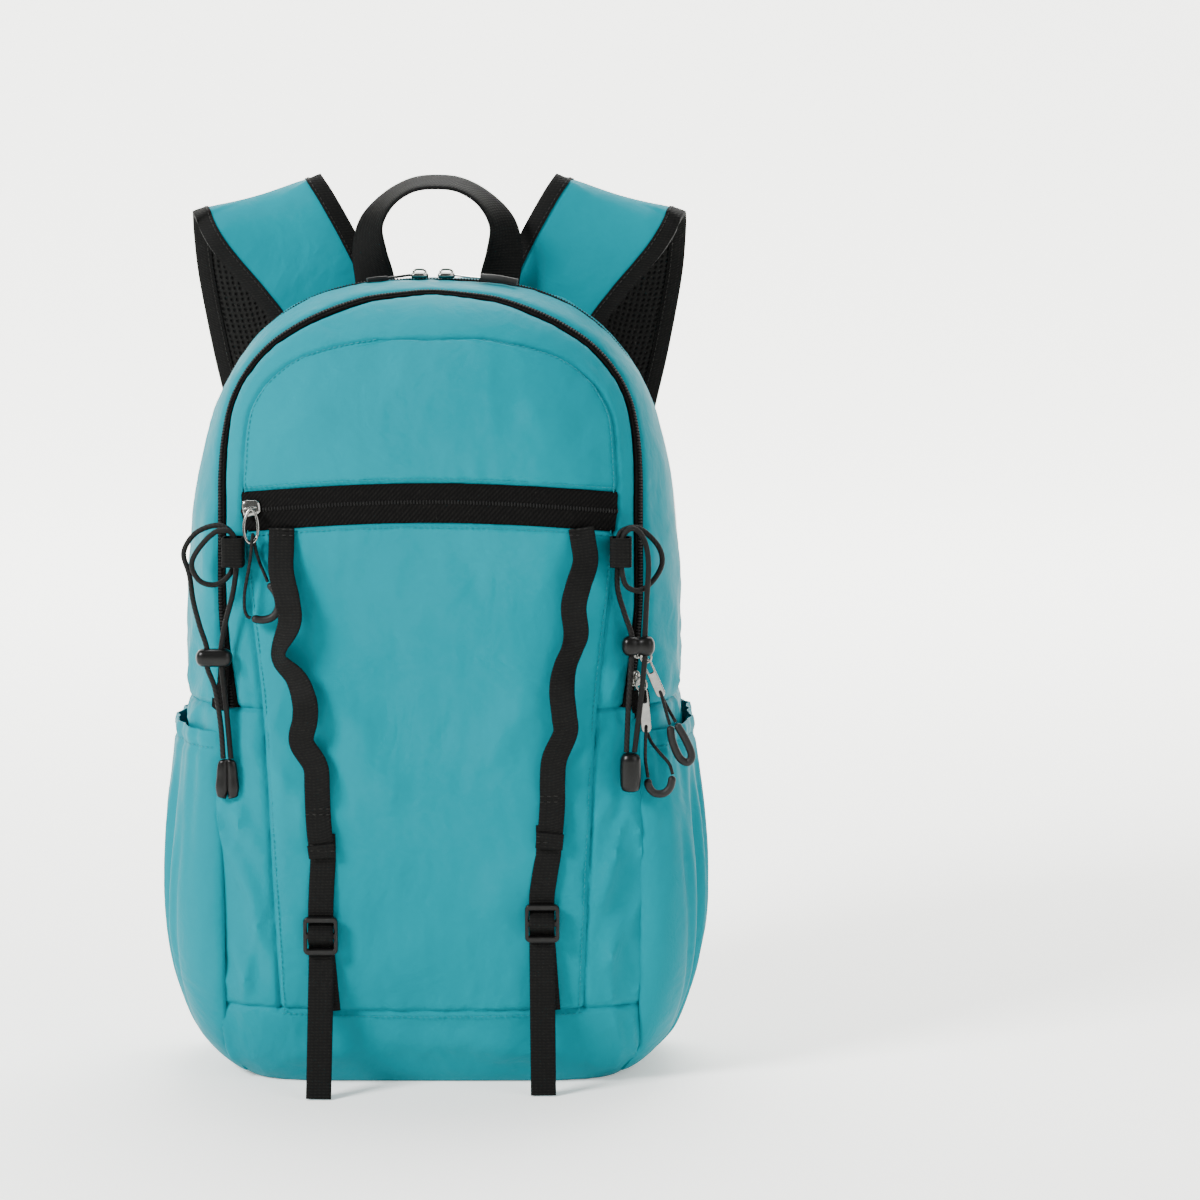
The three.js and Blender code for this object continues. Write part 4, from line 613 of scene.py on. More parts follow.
def repeat_along(name, lines, facings, finish, pitch, size):
    """Beads of a given size (along, across, tall) in mm, at a pitch along lines over a surface."""
    mesh = bpy.data.meshes.new(name)
    points = np.concatenate(lines) * 0.001
    ends = np.cumsum([len(line) for line in lines])
    edges = [(i, i + 1) for i in range(len(points) - 1) if i + 1 not in ends]
    mesh.from_pydata(points.tolist(), edges, [])
    facing = mesh.attributes.new("facing", "FLOAT_VECTOR", "POINT")
    facing.data.foreach_set("vector", np.concatenate(facings).ravel())
    piece = into_scene(name, mesh)
    group = bpy.data.node_groups.new("beads_along_a_line", "GeometryNodeTree")
    group.interface.new_socket("Geometry", in_out="INPUT", socket_type="NodeSocketGeometry")
    sockets = {}
    for label, kind, value in (("Pitch", "NodeSocketFloat", pitch * 0.001),
                               ("Bead Size", "NodeSocketVector", tuple(s * 0.0005 for s in size)),
                               ("Finish", "NodeSocketMaterial", finish)):
        made = group.interface.new_socket(label, in_out="INPUT", socket_type=kind)
        sockets[made.identifier] = value
    group.interface.new_socket("Geometry", in_out="OUTPUT", socket_type="NodeSocketGeometry")
    given = put(group, "NodeGroupInput").outputs
    curve = put(group, "GeometryNodeMeshToCurve", inputs={"Mesh": given["Geometry"]})
    spaced = put(group, "GeometryNodeResampleCurve", {"mode": "LENGTH"}, {
        "Curve": curve.outputs["Curve"], "Length": given["Pitch"]})
    tangent = put(group, "GeometryNodeInputTangent").outputs["Tangent"]
    facing = put(group, "GeometryNodeInputNamedAttribute", {"data_type": "FLOAT_VECTOR"}, {"Name": "facing"})
    along = put(group, "FunctionNodeAlignRotationToVector", {"axis": "X"}, {"Vector": tangent})
    upright = put(group, "FunctionNodeAlignRotationToVector", {"axis": "Z", "pivot_axis": "X"}, {
        "Rotation": along.outputs["Rotation"], "Vector": facing.outputs["Attribute"]})
    bead = put(group, "GeometryNodeMeshUVSphere", inputs={"Segments": 8, "Rings": 5, "Radius": 1.0})
    beads = put(group, "GeometryNodeInstanceOnPoints", inputs={
        "Points": spaced.outputs["Curve"], "Instance": bead.outputs["Mesh"],
        "Rotation": upright.outputs["Rotation"], "Scale": given["Bead Size"]})
    real = put(group, "GeometryNodeRealizeInstances", inputs={"Geometry": beads.outputs["Instances"]})
    dressed = put(group, "GeometryNodeSetMaterial", inputs={
        "Geometry": real.outputs["Geometry"], "Material": given["Finish"]})
    put(group, "NodeGroupOutput", inputs={"Geometry": dressed.outputs["Geometry"]})
    maker = piece.modifiers.new("beads", "NODES")
    maker.node_group = group
    for identifier, value in sockets.items():
        maker[identifier] = value
    result = bpy.data.meshes.new_from_object(piece.evaluated_get(bpy.context.evaluated_depsgraph_get()))
    piece.modifiers.clear()
    piece.data = result
    result.polygons.foreach_set("use_smooth", np.ones(len(result.polygons), dtype=bool))
    return piece


coil_pitch = 1.7


def coil_profile(share):
    """Height of a zip over its tape: two tape edges tucked under, and a soft ridge over the coil."""
    off = np.abs(share - 0.5) * 2
    return 0.55 * np.exp(-(off / 0.34) ** 4) - 0.9 * np.clip((off - 0.86) / 0.14, 0, 1)


def zip_band(name, points, out, coil_size):
    """A zip's tape over its CAD band, and the coil's turns along its middle."""
    over = travelled(points, 1)
    share = over / over[:, -1:]
    lifted = points + out * (coil_profile(share) - 0.25)[..., None]
    tape = surface(name + "_tape", lifted, out, [zip_tape], 1.0)
    dress(tape, "zip_tape", name)
    middle = points.shape[1] // 2
    line, facing = lifted[:, middle] + 0.1 * out[:, middle], out[:, middle]
    dress(repeat_along(name + "_coil", [line], [facing], coil_nylon, coil_pitch, coil_size), "zip_tape")


band_share = np.concatenate([[0, 0.03, 0.07, 0.12], np.linspace(0.18, 0.82, 13), [0.88, 0.93, 0.97, 1]])
arch_lengths = (zip_edge - front_tape)[:, None] + front_tape * band_share
zip_band("front_zip", *along_paths(arch_ahead, arch_lengths), (1.05, 3.0, 1.1))
crown_lengths = 0 * total_behind[:, None] + main_tape * band_share
zip_band("main_zip", *along_paths(arch_behind, crown_lengths), (1.05, 3.2, 1.1))

pocket_rows = band_row + band_share
level, half, hang = seam_at(pocket_rows)
over = np.linspace(-1, 1, 120)
points, out = body_surface(over[:, None] * half[None], level[None] - hang[None] * over[:, None] ** 2)
zip_band("pocket_zip", points, out, (1.1, 2.6, 0.9))

# Cut tape ends of the front zip, which hang out of the side seams. The right one starts lower,
# below its sliders.
sides = (("left", -1), ("right", 1))
stub_tops, stub_foot, stub_x = {"left": 238, "right": 224}, 211, 114.2
for side, hand in sides:
    down, over = np.linspace(0, 1, 14)[:, None], np.linspace(-1, 1, 7)
    x = hand * (stub_x + 1.2 * down) + 4.6 * over
    z = stub_tops[side] + (stub_foot - stub_tops[side]) * down + hand * 3.2 * over * down ** 3
    points, out = body_surface(x, z)
    lift = 1.1 + 0.8 * down + 0.5 * np.sin(5 * down)
    stub = surface(f"front_zip_end_{side}", points + out * lift[..., None], out, [zip_tape], 0.7)
    dress(stub, "zip_tape")


# Stitching: bonded nylon thread, lockstitched about 3 mm to the stitch and half sunk in the cloth. The
# seams of the shell are topstitched in teal, beside each seam, as fine dashes.
teal_thread, tree, shader = material("bonded_nylon_thread_teal", Roughness=0.5, Specular_IOR_Level=0.15)
tinted(tree, shader, mottle(tree, 900.0), "#005D67", "#006D78")
black_thread, tree, shader = material("bonded_nylon_thread_black", Roughness=0.5, Specular_IOR_Level=0.15)
tinted(tree, shader, mottle(tree, 900.0), "#0E0E0D", "#22211F")
stitch = (2.5, 0.62, 0.5)
stitch_pitch = 3.1


def stitched_rows(name, lines, facings, finish, slot):
    dress(repeat_along(name, lines, facings, finish, stitch_pitch, stitch), slot)


def beside_seam(rows, inset):
    level, half, hang = seam_at(rows)
    z = level - hang * ((half - inset) / half) ** 2
    return [body_surface(hand * (half - inset), z) for hand in (-1, 1)]


shell_lines, shell_facings = [], []
for first, last in ((0.15, band_row - 0.02), (band_row + 1.02, last_row)):
    for line, facing in beside_seam(np.linspace(first, last, 260), 2.6):
        shell_lines.append(line + facing * 0.45 + facing * (sag(line) * 0.25)[:, None])
        shell_facings.append(facing)
beside_zip = 2.2
for z, run, hang in ((zip_top + beside_zip, 100.5, 6.5), (zip_top - zip_drop - beside_zip, 99, 6.5)):
    x = np.linspace(-run, run, 200)
    line, facing = body_surface(x, z - hang * (x / run) ** 2)
    shell_lines.append(line + facing * 0.4)
    shell_facings.append(facing)
x = np.linspace(-82, 82, 160)
line, facing = body_surface(x, base_seam - 2.4 + 2 * (x / 84) ** 2)
shell_lines.append(line + facing * 0.35)
shell_facings.append(facing)
stitched_rows("shell_topstitch", shell_lines, shell_facings, teal_thread, "teal_nylon")


# Side pockets: one piece of teal nylon each, eased into the front and back seams and gathered at the
# top on elastic in a 9 mm casing. The gathers fan down from the hem and die out over the bulge.
pocket_top, pocket_foot, pocket_seam_x, pocket_bulge, pocket_wrap = 201.0, 5.0, 115.0, 16.0, 0.14
pocket_levels = np.array((0, 0.04, 0.1, 0.18, 0.29, 0.43, 0.58, 0.74, 0.86, 0.94, 1))
pocket_swell = np.array((0.03, 0.3, 0.55, 0.7, 0.88, 1, 0.96, 0.8, 0.58, 0.45, 0.38))


def outline_half(z):
    rise, power, reach = outline_form(z)
    return half_width * np.maximum(0, 1 - (np.abs(rise) / reach) ** power) ** (1 / power)


def pocket_grid(hand):
    """Points and directions of one side pocket's outer face, from its foot up to its hem."""
    level = graded(pocket_top - pocket_foot, 92, beside_hem)[::-1] / (pocket_top - pocket_foot)
    bulge = spline(pocket_swell, np.interp(level, pocket_levels, np.arange(len(pocket_levels))))
    z = pocket_foot + level * (pocket_top - pocket_foot)
    rim = outline_half(z)
    seam = np.minimum(pocket_seam_x, back_seam_share * rim)
    front = body_surface(hand * (seam[:, None] + (rim - seam)[:, None] * ahead_share), z[:, None])
    rear = body_surface(hand * rim[:, None] * (1 - pocket_wrap * behind_share), z[:, None], front=False)
    points, out, total = whole_wrap(front, rear, 108, beside_hem)
    share = travelled(points, 1) / total[:, None]
    hump = np.sin(np.pi * np.clip(share, 0, 1)) ** 0.6
    gap = np.minimum(share, 1 - share) * total[:, None]
    lvl = level[:, None]
    phase = 44 * share + 1.6 * np.sin(7 * share) + 1.2 * hand
    fine = np.sin(phase) + 0.5 * np.sin(1.9 * phase + 1.3) + 0.7 * np.sin(0.43 * phase)
    broad = np.sin(15 * share + 0.8 * hand) + 0.6 * np.sin(24 * share + 2)
    fan_down = np.clip((lvl - 0.42) / 0.5, 0, 1) ** 1.3
    lift = 1.35 + bulge[:, None] * pocket_bulge * hump
    ease = np.clip(gap / 9, 0, 1)
    lift = lift + ease * (0.75 * fine * fan_down + 1.15 * broad * np.clip(lvl * 1.6, 0, 1) * (1.1 - lvl))
    lift = lift - ease * 1.1 * np.exp(-((lvl - 0.95) / 0.012) ** 2)
    lift = lift + ease * 0.7 * np.exp(-((lvl - 0.98) / 0.016) ** 2)
    for place, low, top, width, depth in (
            (0.3, -0.2, 0.9, 0.024, 3.4), (0.2, 0.1, 0.8, 0.018, 1.5), (0.42, 0.05, 1.0, 0.02, 1.3),
            (0.62, -0.1, 0.8, 0.03, 1.8), (0.8, 0.1, 1.0, 0.025, 1.5)):
        middle = place + 0.035 * np.sin(5 * lvl + 3 * place) - 0.02 * (1 - lvl)
        reach = np.clip((lvl - low) / 0.25, 0, 1) * np.clip((top - lvl) / 0.2, 0, 1)
        off = (share - middle) / width
        lift = lift - ease * depth * reach * (np.exp(-off ** 2) - 0.55 * np.exp(-(off - 1.7) ** 2))
    placed = points + out * np.maximum(lift, 1.3)[..., None]
    placed = placed + out * (ease * (0.5 * wander(placed, (14, 14, 34), 3.3 + hand)
                                     + 0.8 * wander(placed, (40, 40, 60), 6.1 - hand)))[..., None]
    ripple = wander(np.stack([z[:, None] / 5 + 0 * share, 0 * share, 0 * share], -1), 1.0, 2.0 + hand)
    placed = placed + out * (0.7 * ripple * np.exp(-gap / 7) * np.clip(gap / 1.5, 0, 1))[..., None]
    placed[..., 2] = np.maximum(placed[..., 2], 0)
    return placed, out


for side, hand in sides:
    points, out = pocket_grid(hand)
    pocket = surface(f"side_pocket_{side}_cloth", points, out, [teal_nylon], 1.1)
    dress(pocket, "teal_nylon", f"side_pocket_{side}")
    hem_row = int(np.argmin(np.abs(points[:, 50, 2] - (pocket_top - 9.5))))
    line, facing = points[hem_row, 4:-4], out[hem_row, 4:-4]
    stitched_rows(f"side_pocket_{side}_hem_stitch", [line + 0.2 * facing], [facing], teal_thread,
                  "teal_nylon")


# Webbing: black polyester webbing, 14 mm wide and 1.2 mm thick, woven with fine ribs across it. The two
# front bands are tacked to the panel and stand off it in loops, each ends in a folded hem over its
# tail, and the tail runs through a ladder lock and hangs to the ground with a square cut end.
webbing, tree, shader = material("woven_polyester_webbing", Roughness=0.72, Specular_IOR_Level=0.1)
ribbed = combine(tree, "MULTIPLY", wave(tree, 1.7, "Y"), combine(tree, "ADD", wave(tree, 2.3, "X"), 0.6))
fibre = mottle(tree, 500.0, Detail=3.0)
tinted(tree, shader, combine(tree, "MULTIPLY", ribbed, fibre), "#030303", "#10100E")
bumped(tree, shader, (fibre, 0.2, 0.2), (ribbed, 0.4, 0.3))


def along_line(points):
    """Unit directions along a line of points."""
    way = np.gradient(points, axis=0)
    return way / np.maximum(np.linalg.norm(way, axis=1, keepdims=True), 1e-9)


# One webbing's section, as shares of its width and thickness: flat faces, and edges that round over.
band_corner = ((-0.5, 0.0), (-0.49, 0.3), (-0.46, 0.46), (-0.3, 0.5), (-0.1, 0.5))
band_top = band_corner + tuple((-u, v) for u, v in band_corner[::-1])
band_section = band_top + tuple((u, -v) for u, v in band_top[-2:0:-1])


def squared(across, way):
    """What lies square to a way of some directions, made unit long."""
    across = across - way * np.sum(across * way, axis=1, keepdims=True)
    return across / np.linalg.norm(across, axis=1, keepdims=True)


def band_grid(middle, across, width, thick):
    """Sections of a woven band with rounded edges, along its middle line."""
    way = along_line(middle)
    across = squared(np.broadcast_to(np.asarray(across, dtype=float), middle.shape), way)
    face = np.cross(way, across)
    width, thick = (np.broadcast_to(v, len(middle)) for v in (width, thick))
    grid = np.stack([middle + across * (u * width)[:, None] + face * (v * thick)[:, None]
                     for u, v in band_section], 1)
    return grid, grid - middle[:, None]


def band(name, middle, across, width, thick, finish, slot, *nodes):
    grid, out = band_grid(middle, across, width, thick)
    piece = surface(name, grid, out, [finish], wrap=True, capped=True)
    dress(piece, slot, *nodes)


web_width, web_thick, seam_gap = 14.0, 1.2, 0.3
lock_bar, lock_slot, lock_thick, lock_side = 3.4, 5.6, 3.2, 2.2
lock_height = 3 * lock_bar + 2 * lock_slot
weave_out = lock_thick / 2 + seam_gap + web_thick / 2
weave_ends, weave_ease = lock_height / 2 + 4, 0.4
weave_steps = (  # drop from the lock's middle, and the side of the lock: 1 before it, -1 behind
    (-weave_ends, -1), (-(lock_bar / 2 + lock_slot) + weave_ease, -1), (-lock_bar / 2 - weave_ease, 1),
    (lock_bar / 2 + weave_ease, 1), (lock_bar / 2 + lock_slot - weave_ease, -1), (weave_ends, -1))
anchor_lift = seam_gap + web_thick / 2
lock_lift = anchor_lift + web_thick + 2 * seam_gap + weave_out
tacked_row, tack_reach = 13, 5.6
gear_routes = {  # rows: x, z and lift off the panel in mm, and the turn of the band in degrees
    "left": dict(lock=(-60.3, 91.0), end=(-61.8, -86.0), rows=(
        (-79.2, 315, 2.2, 0), (-78.6, 306, 4.5, 0), (-77.5, 292, 9, 4), (-73.6, 277, 12, 8),
        (-73, 265, 11.4, 22), (-78.9, 251, 9.6, 52), (-78.3, 243, 8.6, 44), (-70.8, 234, 8, 26),
        (-66, 222, 10, 6), (-66, 212, 10, 0), (-68.7, 199, 7, 6), (-61.7, 186, 6, 6), (-60.8, 174, 6, 2),
        (-61, 160, 2.4, 0), (-60, 147, 4.2, 0), (-58.8, 135, 2.7, 0))),
    "right": dict(lock=(61.2, 98.0), end=(61.9, -78.0), rows=(
        (82, 315, 2.4, 0), (82.6, 307, 5, 0), (82.6, 297, 9, -4), (78.6, 285, 12, -6),
        (76.5, 273, 11, -4), (78.3, 259, 8.4, -8), (76.5, 250, 7.6, -30), (72.7, 240, 8, -24),
        (70.9, 228, 10, -6), (72.2, 214, 10, 0), (73, 204, 8.5, -14), (67.6, 190, 6, -4),
        (66.6, 178, 5, 0), (66.8, 167, 2.4, 0), (66, 154, 4.2, 0), (64.8, 140, 2.7, 0)))}


def off_panel(x, z, lift):
    point, out = body_surface(x, z)
    return point + out * (lift + np.maximum(sag(point), 0))[..., None]


for side, route in gear_routes.items():
    rows = np.array(route["rows"], dtype=float)
    smooth_rows = smooth_line(rows, 190)
    x, z, lift, turned = smooth_rows.T
    middle = off_panel(x, z, lift)
    lean = np.gradient(x) / -np.gradient(z)
    way = along_line(middle)
    across = squared(np.stack([np.ones_like(lean), 0 * lean, lean], 1), way)
    angle = np.radians(turned)[:, None]
    across = across * np.cos(angle) + np.cross(way, across) * np.sin(angle)
    band(f"gear_webbing_{side}_band", middle, across, web_width, web_thick, webbing, "webbing",
         f"gear_webbing_{side}")
    hem = smooth_rows[-9:]
    fold = off_panel(hem[:, 0], hem[:, 1] - 0.6, hem[:, 2] + web_thick * 0.95)
    band(f"gear_webbing_{side}_hem", fold, (1, 0, 0), web_width * 1.07, web_thick * 0.9,
         webbing, "webbing")

    lock_x, lock_z = route["lock"]
    end_x, end_y = route["end"]
    lock_y = float(off_panel(lock_x, lock_z, lock_lift)[1])
    hem_x, hem_z = rows[-1, 0], rows[-1, 1]
    tail_top = lock_z - weave_ends
    stations = [off_panel(hem_x, hem_z + 12, anchor_lift), off_panel(hem_x, hem_z - 2, anchor_lift),
                off_panel((hem_x + lock_x) / 2, (hem_z + lock_z + 14) / 2, anchor_lift + 0.5)]
    stations += [np.array([lock_x, lock_y - weave_out * s, lock_z - d]) for d, s in weave_steps]
    for share in (1 / 3, 2 / 3, 1):
        stations.append(np.array([lock_x + (end_x - lock_x) * share,
                                  lock_y + weave_out + (end_y - lock_y - weave_out) * share,
                                  max(tail_top * (1 - share), web_thick / 2)]))
    tail = smooth_line(stations, 150)
    tail[:, 2] = np.maximum(tail[:, 2], web_thick / 2)
    band(f"gear_tail_{side}_band", tail, (1, 0, 0), web_width, web_thick, webbing, "webbing",
         f"gear_tail_{side}")
    down = np.linspace(0, 1, 24)
    anchor_top = lock_z - lock_height / 2 + lock_bar
    anchor = off_panel(lock_x + 3 * down, anchor_top + (base_seam + 2 - anchor_top) * down, anchor_lift)
    band(f"strap_anchor_{side}_band", anchor, (1, 0, 0), web_width, web_thick, webbing,
         "webbing", f"strap_anchor_{side}")
    tacks, ways = [], []
    for spot_x, spot_z, spot_lift in ((rows[0, 0], rows[0, 1] - 2, 3.4), rows[tacked_row, :3],
                                      (hem_x, hem_z + 5, rows[-1, 2] + 1.3)):
        for rise in (-1.6, 1.6):
            run = spot_x + np.linspace(-tack_reach, tack_reach, 9)
            line = off_panel(run, spot_z + rise, spot_lift + 0.75)
            tacks.append(line)
            ways.append(body_surface(line[:, 0], line[:, 2])[1])
    stitched_rows(f"gear_webbing_{side}_tacks", tacks, ways, black_thread, "webbing")


# Ladder locks and adjusters: moulded black nylon frames of three bars with rounded edges. The webbing
# runs behind the outer bars and over the middle one. The front pair holds the hanging tails, and the
# wider pair under the shoulder pads holds the lower strap webbing.
moulded_nylon, tree, shader = material("moulded_black_nylon", Roughness=0.32, Specular_IOR_Level=0.2)
grain = mottle(tree, 700.0, Detail=2.0)
tinted(tree, shader, grain, "#030303", "#0C0C0B")
bumped(tree, shader, (grain, 0.12, 0.1))


def rounded_outline(width, height, corner, middle=(0, 0), steps=6):
    """The closed outline of a rectangle with rounded corners, in mm."""
    outline = []
    for quarter, (sx, sy) in enumerate(((1, 1), (-1, 1), (-1, -1), (1, -1))):
        for step in range(steps + 1):
            angle = math.pi / 2 * (quarter + step / steps)
            outline.append((middle[0] + sx * (width / 2 - corner) + corner * math.cos(angle),
                            middle[1] + sy * (height / 2 - corner) + corner * math.sin(angle)))
    return outline


def plate(name, outlines, thick, edge, finish, place, tip=0.0, turned=0.0):
    """A plate with rounded edges from closed outlines in mm, of which all but the first are holes. It
    is tipped about X and then turned about Y, both in degrees, and moved to its place."""
    curve = bpy.data.curves.new(name, "CURVE")
    curve.dimensions, curve.fill_mode = "2D", "BOTH"
    curve.extrude, curve.bevel_depth, curve.bevel_resolution = (thick / 2 - edge) * 0.001, edge * 0.001, 3
    for n, outline in enumerate(outlines):
        points = np.array(outline) * 0.001
        middle = (points.max(axis=0) + points.min(axis=0)) / 2
        reach = (points.max(axis=0) - points.min(axis=0)) / 2
        shrunk = 1 - edge * 0.001 / reach if n == 0 else 1 + edge * 0.001 / reach
        points = middle + (points - middle) * shrunk
        line = curve.splines.new("POLY")
        line.points.add(len(points) - 1)
        line.points.foreach_set("co", np.c_[points, np.zeros(len(points)), np.ones(len(points))].ravel())
        line.use_cyclic_u = True
    shape = into_scene(name + "_outline", curve)
    mesh = bpy.data.meshes.new_from_object(shape.evaluated_get(bpy.context.evaluated_depsgraph_get()))
    bpy.data.objects.remove(shape)
    x, y, z = vertex_places(mesh).T
    a, b = math.radians(tip), math.radians(turned)
    y, z = y * math.cos(a) - z * math.sin(a), y * math.sin(a) + z * math.cos(a)
    x, z = x * math.cos(b) + z * math.sin(b), z * math.cos(b) - x * math.sin(b)
    mesh.vertices.foreach_set("co", (np.stack([x, y, z], 1) + np.array(place) * 0.001).ravel())
    mesh.materials.clear()
    mesh.materials.append(finish)
    mesh.polygons.foreach_set("use_smooth", np.ones(len(mesh.polygons), dtype=bool))
    mesh.set_sharp_from_angle(angle=math.radians(35))
    mesh.update()
    return into_scene(name, mesh)


def ladder_lock(name, width, place, node):
    slot_width = width + 2 * seam_gap
    outlines = [rounded_outline(slot_width + 2 * lock_side, lock_height, 2.4)]
    for way in (1, -1):
        outlines.append(rounded_outline(slot_width, lock_slot, 1.0, (0, way * (lock_bar + lock_slot) / 2)))
    dress(plate(name, outlines, lock_thick, 0.8, moulded_nylon, place, tip=90), "black_plastic", node)


for side, route in gear_routes.items():
    lock_x, lock_z = route["lock"]
    place = off_panel(lock_x, lock_z, lock_lift)
    ladder_lock(f"ladder_lock_{side}_frame", web_width, place, f"ladder_lock_{side}")


# Grab handle: a wide band of the same webbing, doubled. Both feet are sewn face-on to the back panel
# behind the crown, and the grip turns edge-on at the top, with its front edge a little lower.
handle_rows = np.array((  # rise and spread as shares of the handle's, quarter turns, set back
    (-0.24, 1, 0, 0), (-0.08, 1, 0, 0), (0.1, 1.02, 0.06, 0), (0.36, 1.1, 0.3, -0.02),
    (0.62, 1.06, 0.6, -0.05), (0.84, 0.78, 0.84, -0.08), (0.97, 0.4, 0.95, -0.1), (1, 0, 1, -0.1)))
handle_width, handle_thick, handle_foot, handle_rise, handle_spread = 23.0, 2.4, 436.0, 62.0, 35
handle_lean = 0.28
handle_x, handle_z = handle_rows[:, 1] * handle_spread, handle_foot + handle_rows[:, 0] * handle_rise
rest, _ = body_surface(np.maximum(handle_x - handle_width / 2, 0),
                       np.minimum(handle_z, handle_foot - 0.08 * handle_rise), front=False)
handle_y = rest[..., 1] + 2 * seam_gap + handle_thick / 2 + handle_rows[:, 3] * handle_rise
half = np.stack([handle_x, handle_y, handle_z, handle_rows[:, 2] * 90], 1)
both = smooth_line(np.concatenate([half, half[-2::-1] * [-1, 1, 1, -1] + [0, 0, 0, 180]]), 170)
angle = np.radians(both[:, 3])
across = np.stack([np.cos(angle), np.sin(angle), handle_lean * np.sin(angle)], 1)
band("grab_handle_band", both[:, :3], across, handle_width, handle_thick, webbing, "webbing", "grab_handle")
tacks, ways = [], []
for hand in (-1, 1):
    for z in (424.0, 428.5, 433.0):
        line, _ = body_surface(hand * handle_spread + np.linspace(-8.5, 8.5, 9), z, front=False)
        line[:, 1] = handle_y[0] + handle_thick / 2 + 0.1
        tacks.append(line)
        ways.append(np.tile([0, 1.0, 0], (9, 1)))
stitched_rows("grab_handle_tacks", tacks, ways, black_thread, "webbing")


# Shoulder straps: foam pads between teal nylon outside and black air mesh inside, bound in black tape
# along both edges. Each is sewn in beside the handle, rises over the crown, folds back and hangs behind the
# bag. The pad is puffed up by a short cloth simulation, held at its bound edges.
strap_rows = np.array((  # x and z as shares of the body, off the back panel, slope, width and thickness
    (0.45, 0.885, 5, 0.02, 0.8, 0.55), (0.455, 0.925, 7, 0.1, 0.82, 0.8), (0.485, 0.968, 8.5, 0.5, 0.86, 0.9),
    (0.57, 1.013, 9.5, 0.44, 0.92, 1), (0.665, 1.055, 11, 0.36, 0.98, 1), (0.728, 1.08, 15, 0.31, 1, 1),
    (0.755, 1.09, 23, 0.29, 1, 1), (0.765, 1.081, 31, 0.28, 1, 1), (0.765, 1.05, 37, 0.22, 1, 1),
    (0.75, 1, 40, 0.1, 1, 1), (0.705, 0.91, 41, -0.08, 0.97, 1), (0.64, 0.8, 39, -0.12, 0.92, 1),
    (0.6, 0.675, 35, -0.08, 0.87, 1), (0.585, 0.565, 30, 0, 0.8, 1), (0.585, 0.53, 28, 0, 0.55, 0.7)))
strap_width, strap_thick, strap_edge, strap_binding = 76.0, 9.0, 3.0, 9.0
back_y, pad_inset, pad_swell = ridge_y + back_depth, 2.5, 2.6
binding_places = np.array((strap_binding, 7.5, 5.0, 3.0, 1.6, 0.6, 1e-6))  # mm in from the strap's edge


def strap_sections(hand, places):
    """Middle, across, out, half width and half thickness of a strap at places counted in rows."""
    middles = strap_rows[:, :3] * [half_width, height, 1]
    middles = np.stack([middles[:, 0], back_y + middles[:, 2], middles[:, 1]], 1)
    middle = spline(middles, places)
    form = spline(strap_rows[:, 3:], places)
    way = along_line(middle)
    across = squared(np.stack([-np.ones(len(places)), 0 * places, form[:, 0]], 1), way)
    out = np.cross(way, across)
    flip = np.array([hand, 1, 1])
    thick = np.maximum(form[:, 2] * strap_thick, strap_edge)
    return middle * flip, across * flip, out * flip, form[:, 1] * strap_width / 2, thick / 2


def strap_skin(sections, from_edge, face, lift):
    """Points and directions on a strap's face, at distances in mm from its near or far edge."""
    middle, across, out, half, thick = sections
    inset = np.minimum(np.abs(from_edge), half[:, None])
    rise = np.clip(inset / (strap_binding + 5), 0, 1)
    v = strap_edge / 2 + (thick[:, None] - strap_edge / 2) * np.sin(rise * math.pi / 2) ** 0.8
    u = np.where(from_edge < 0, -1, 1) * (half[:, None] - inset)
    facing = face * out[:, None] + across[:, None] * ((u / half[:, None]) ** 7 * 0.8)[..., None]
    facing = facing / np.linalg.norm(facing, axis=-1, keepdims=True)
    points = middle[:, None] + across[:, None] * u[..., None] + out[:, None] * (face * v)[..., None]
    return points + facing * lift, facing


def puffed(piece, held, pressure, reach, frames):
    """Fills a closed pad with air for a moment, with its held points pinned, and keeps the result."""
    start = vertex_places(piece.data)
    pins = piece.vertex_groups.new(name="bound_edge")
    pins.add([int(n) for n in held], 1.0, "REPLACE")
    cloth = piece.modifiers.new("cloth", "CLOTH")
    cloth.settings.quality, cloth.settings.mass = 6, 0.15
    cloth.settings.tension_stiffness = cloth.settings.compression_stiffness = 18
    cloth.settings.shear_stiffness, cloth.settings.bending_stiffness = 9, 0.6
    cloth.settings.vertex_group_mass = "bound_edge"
    cloth.settings.use_pressure, cloth.settings.uniform_pressure_force = True, pressure
    cloth.settings.effector_weights.gravity = 0.0
    cloth.collision_settings.use_collision = False
    cloth.point_cache.frame_start, cloth.point_cache.frame_end = 1, frames
    for frame_number in range(1, frames + 1):
        bpy.context.scene.frame_set(frame_number)
    settled = bpy.data.meshes.new_from_object(piece.evaluated_get(bpy.context.evaluated_depsgraph_get()))
    move = vertex_places(settled) - start
    size = np.linalg.norm(move, axis=1, keepdims=True)
    move *= np.minimum(1, reach * 0.001 / np.maximum(size, 1e-9))
    piece.modifiers.clear()
    piece.data.vertices.foreach_set("co", (start + move).ravel())
    piece.data.update()
    bpy.data.meshes.remove(settled)
    bpy.context.scene.frame_set(1)


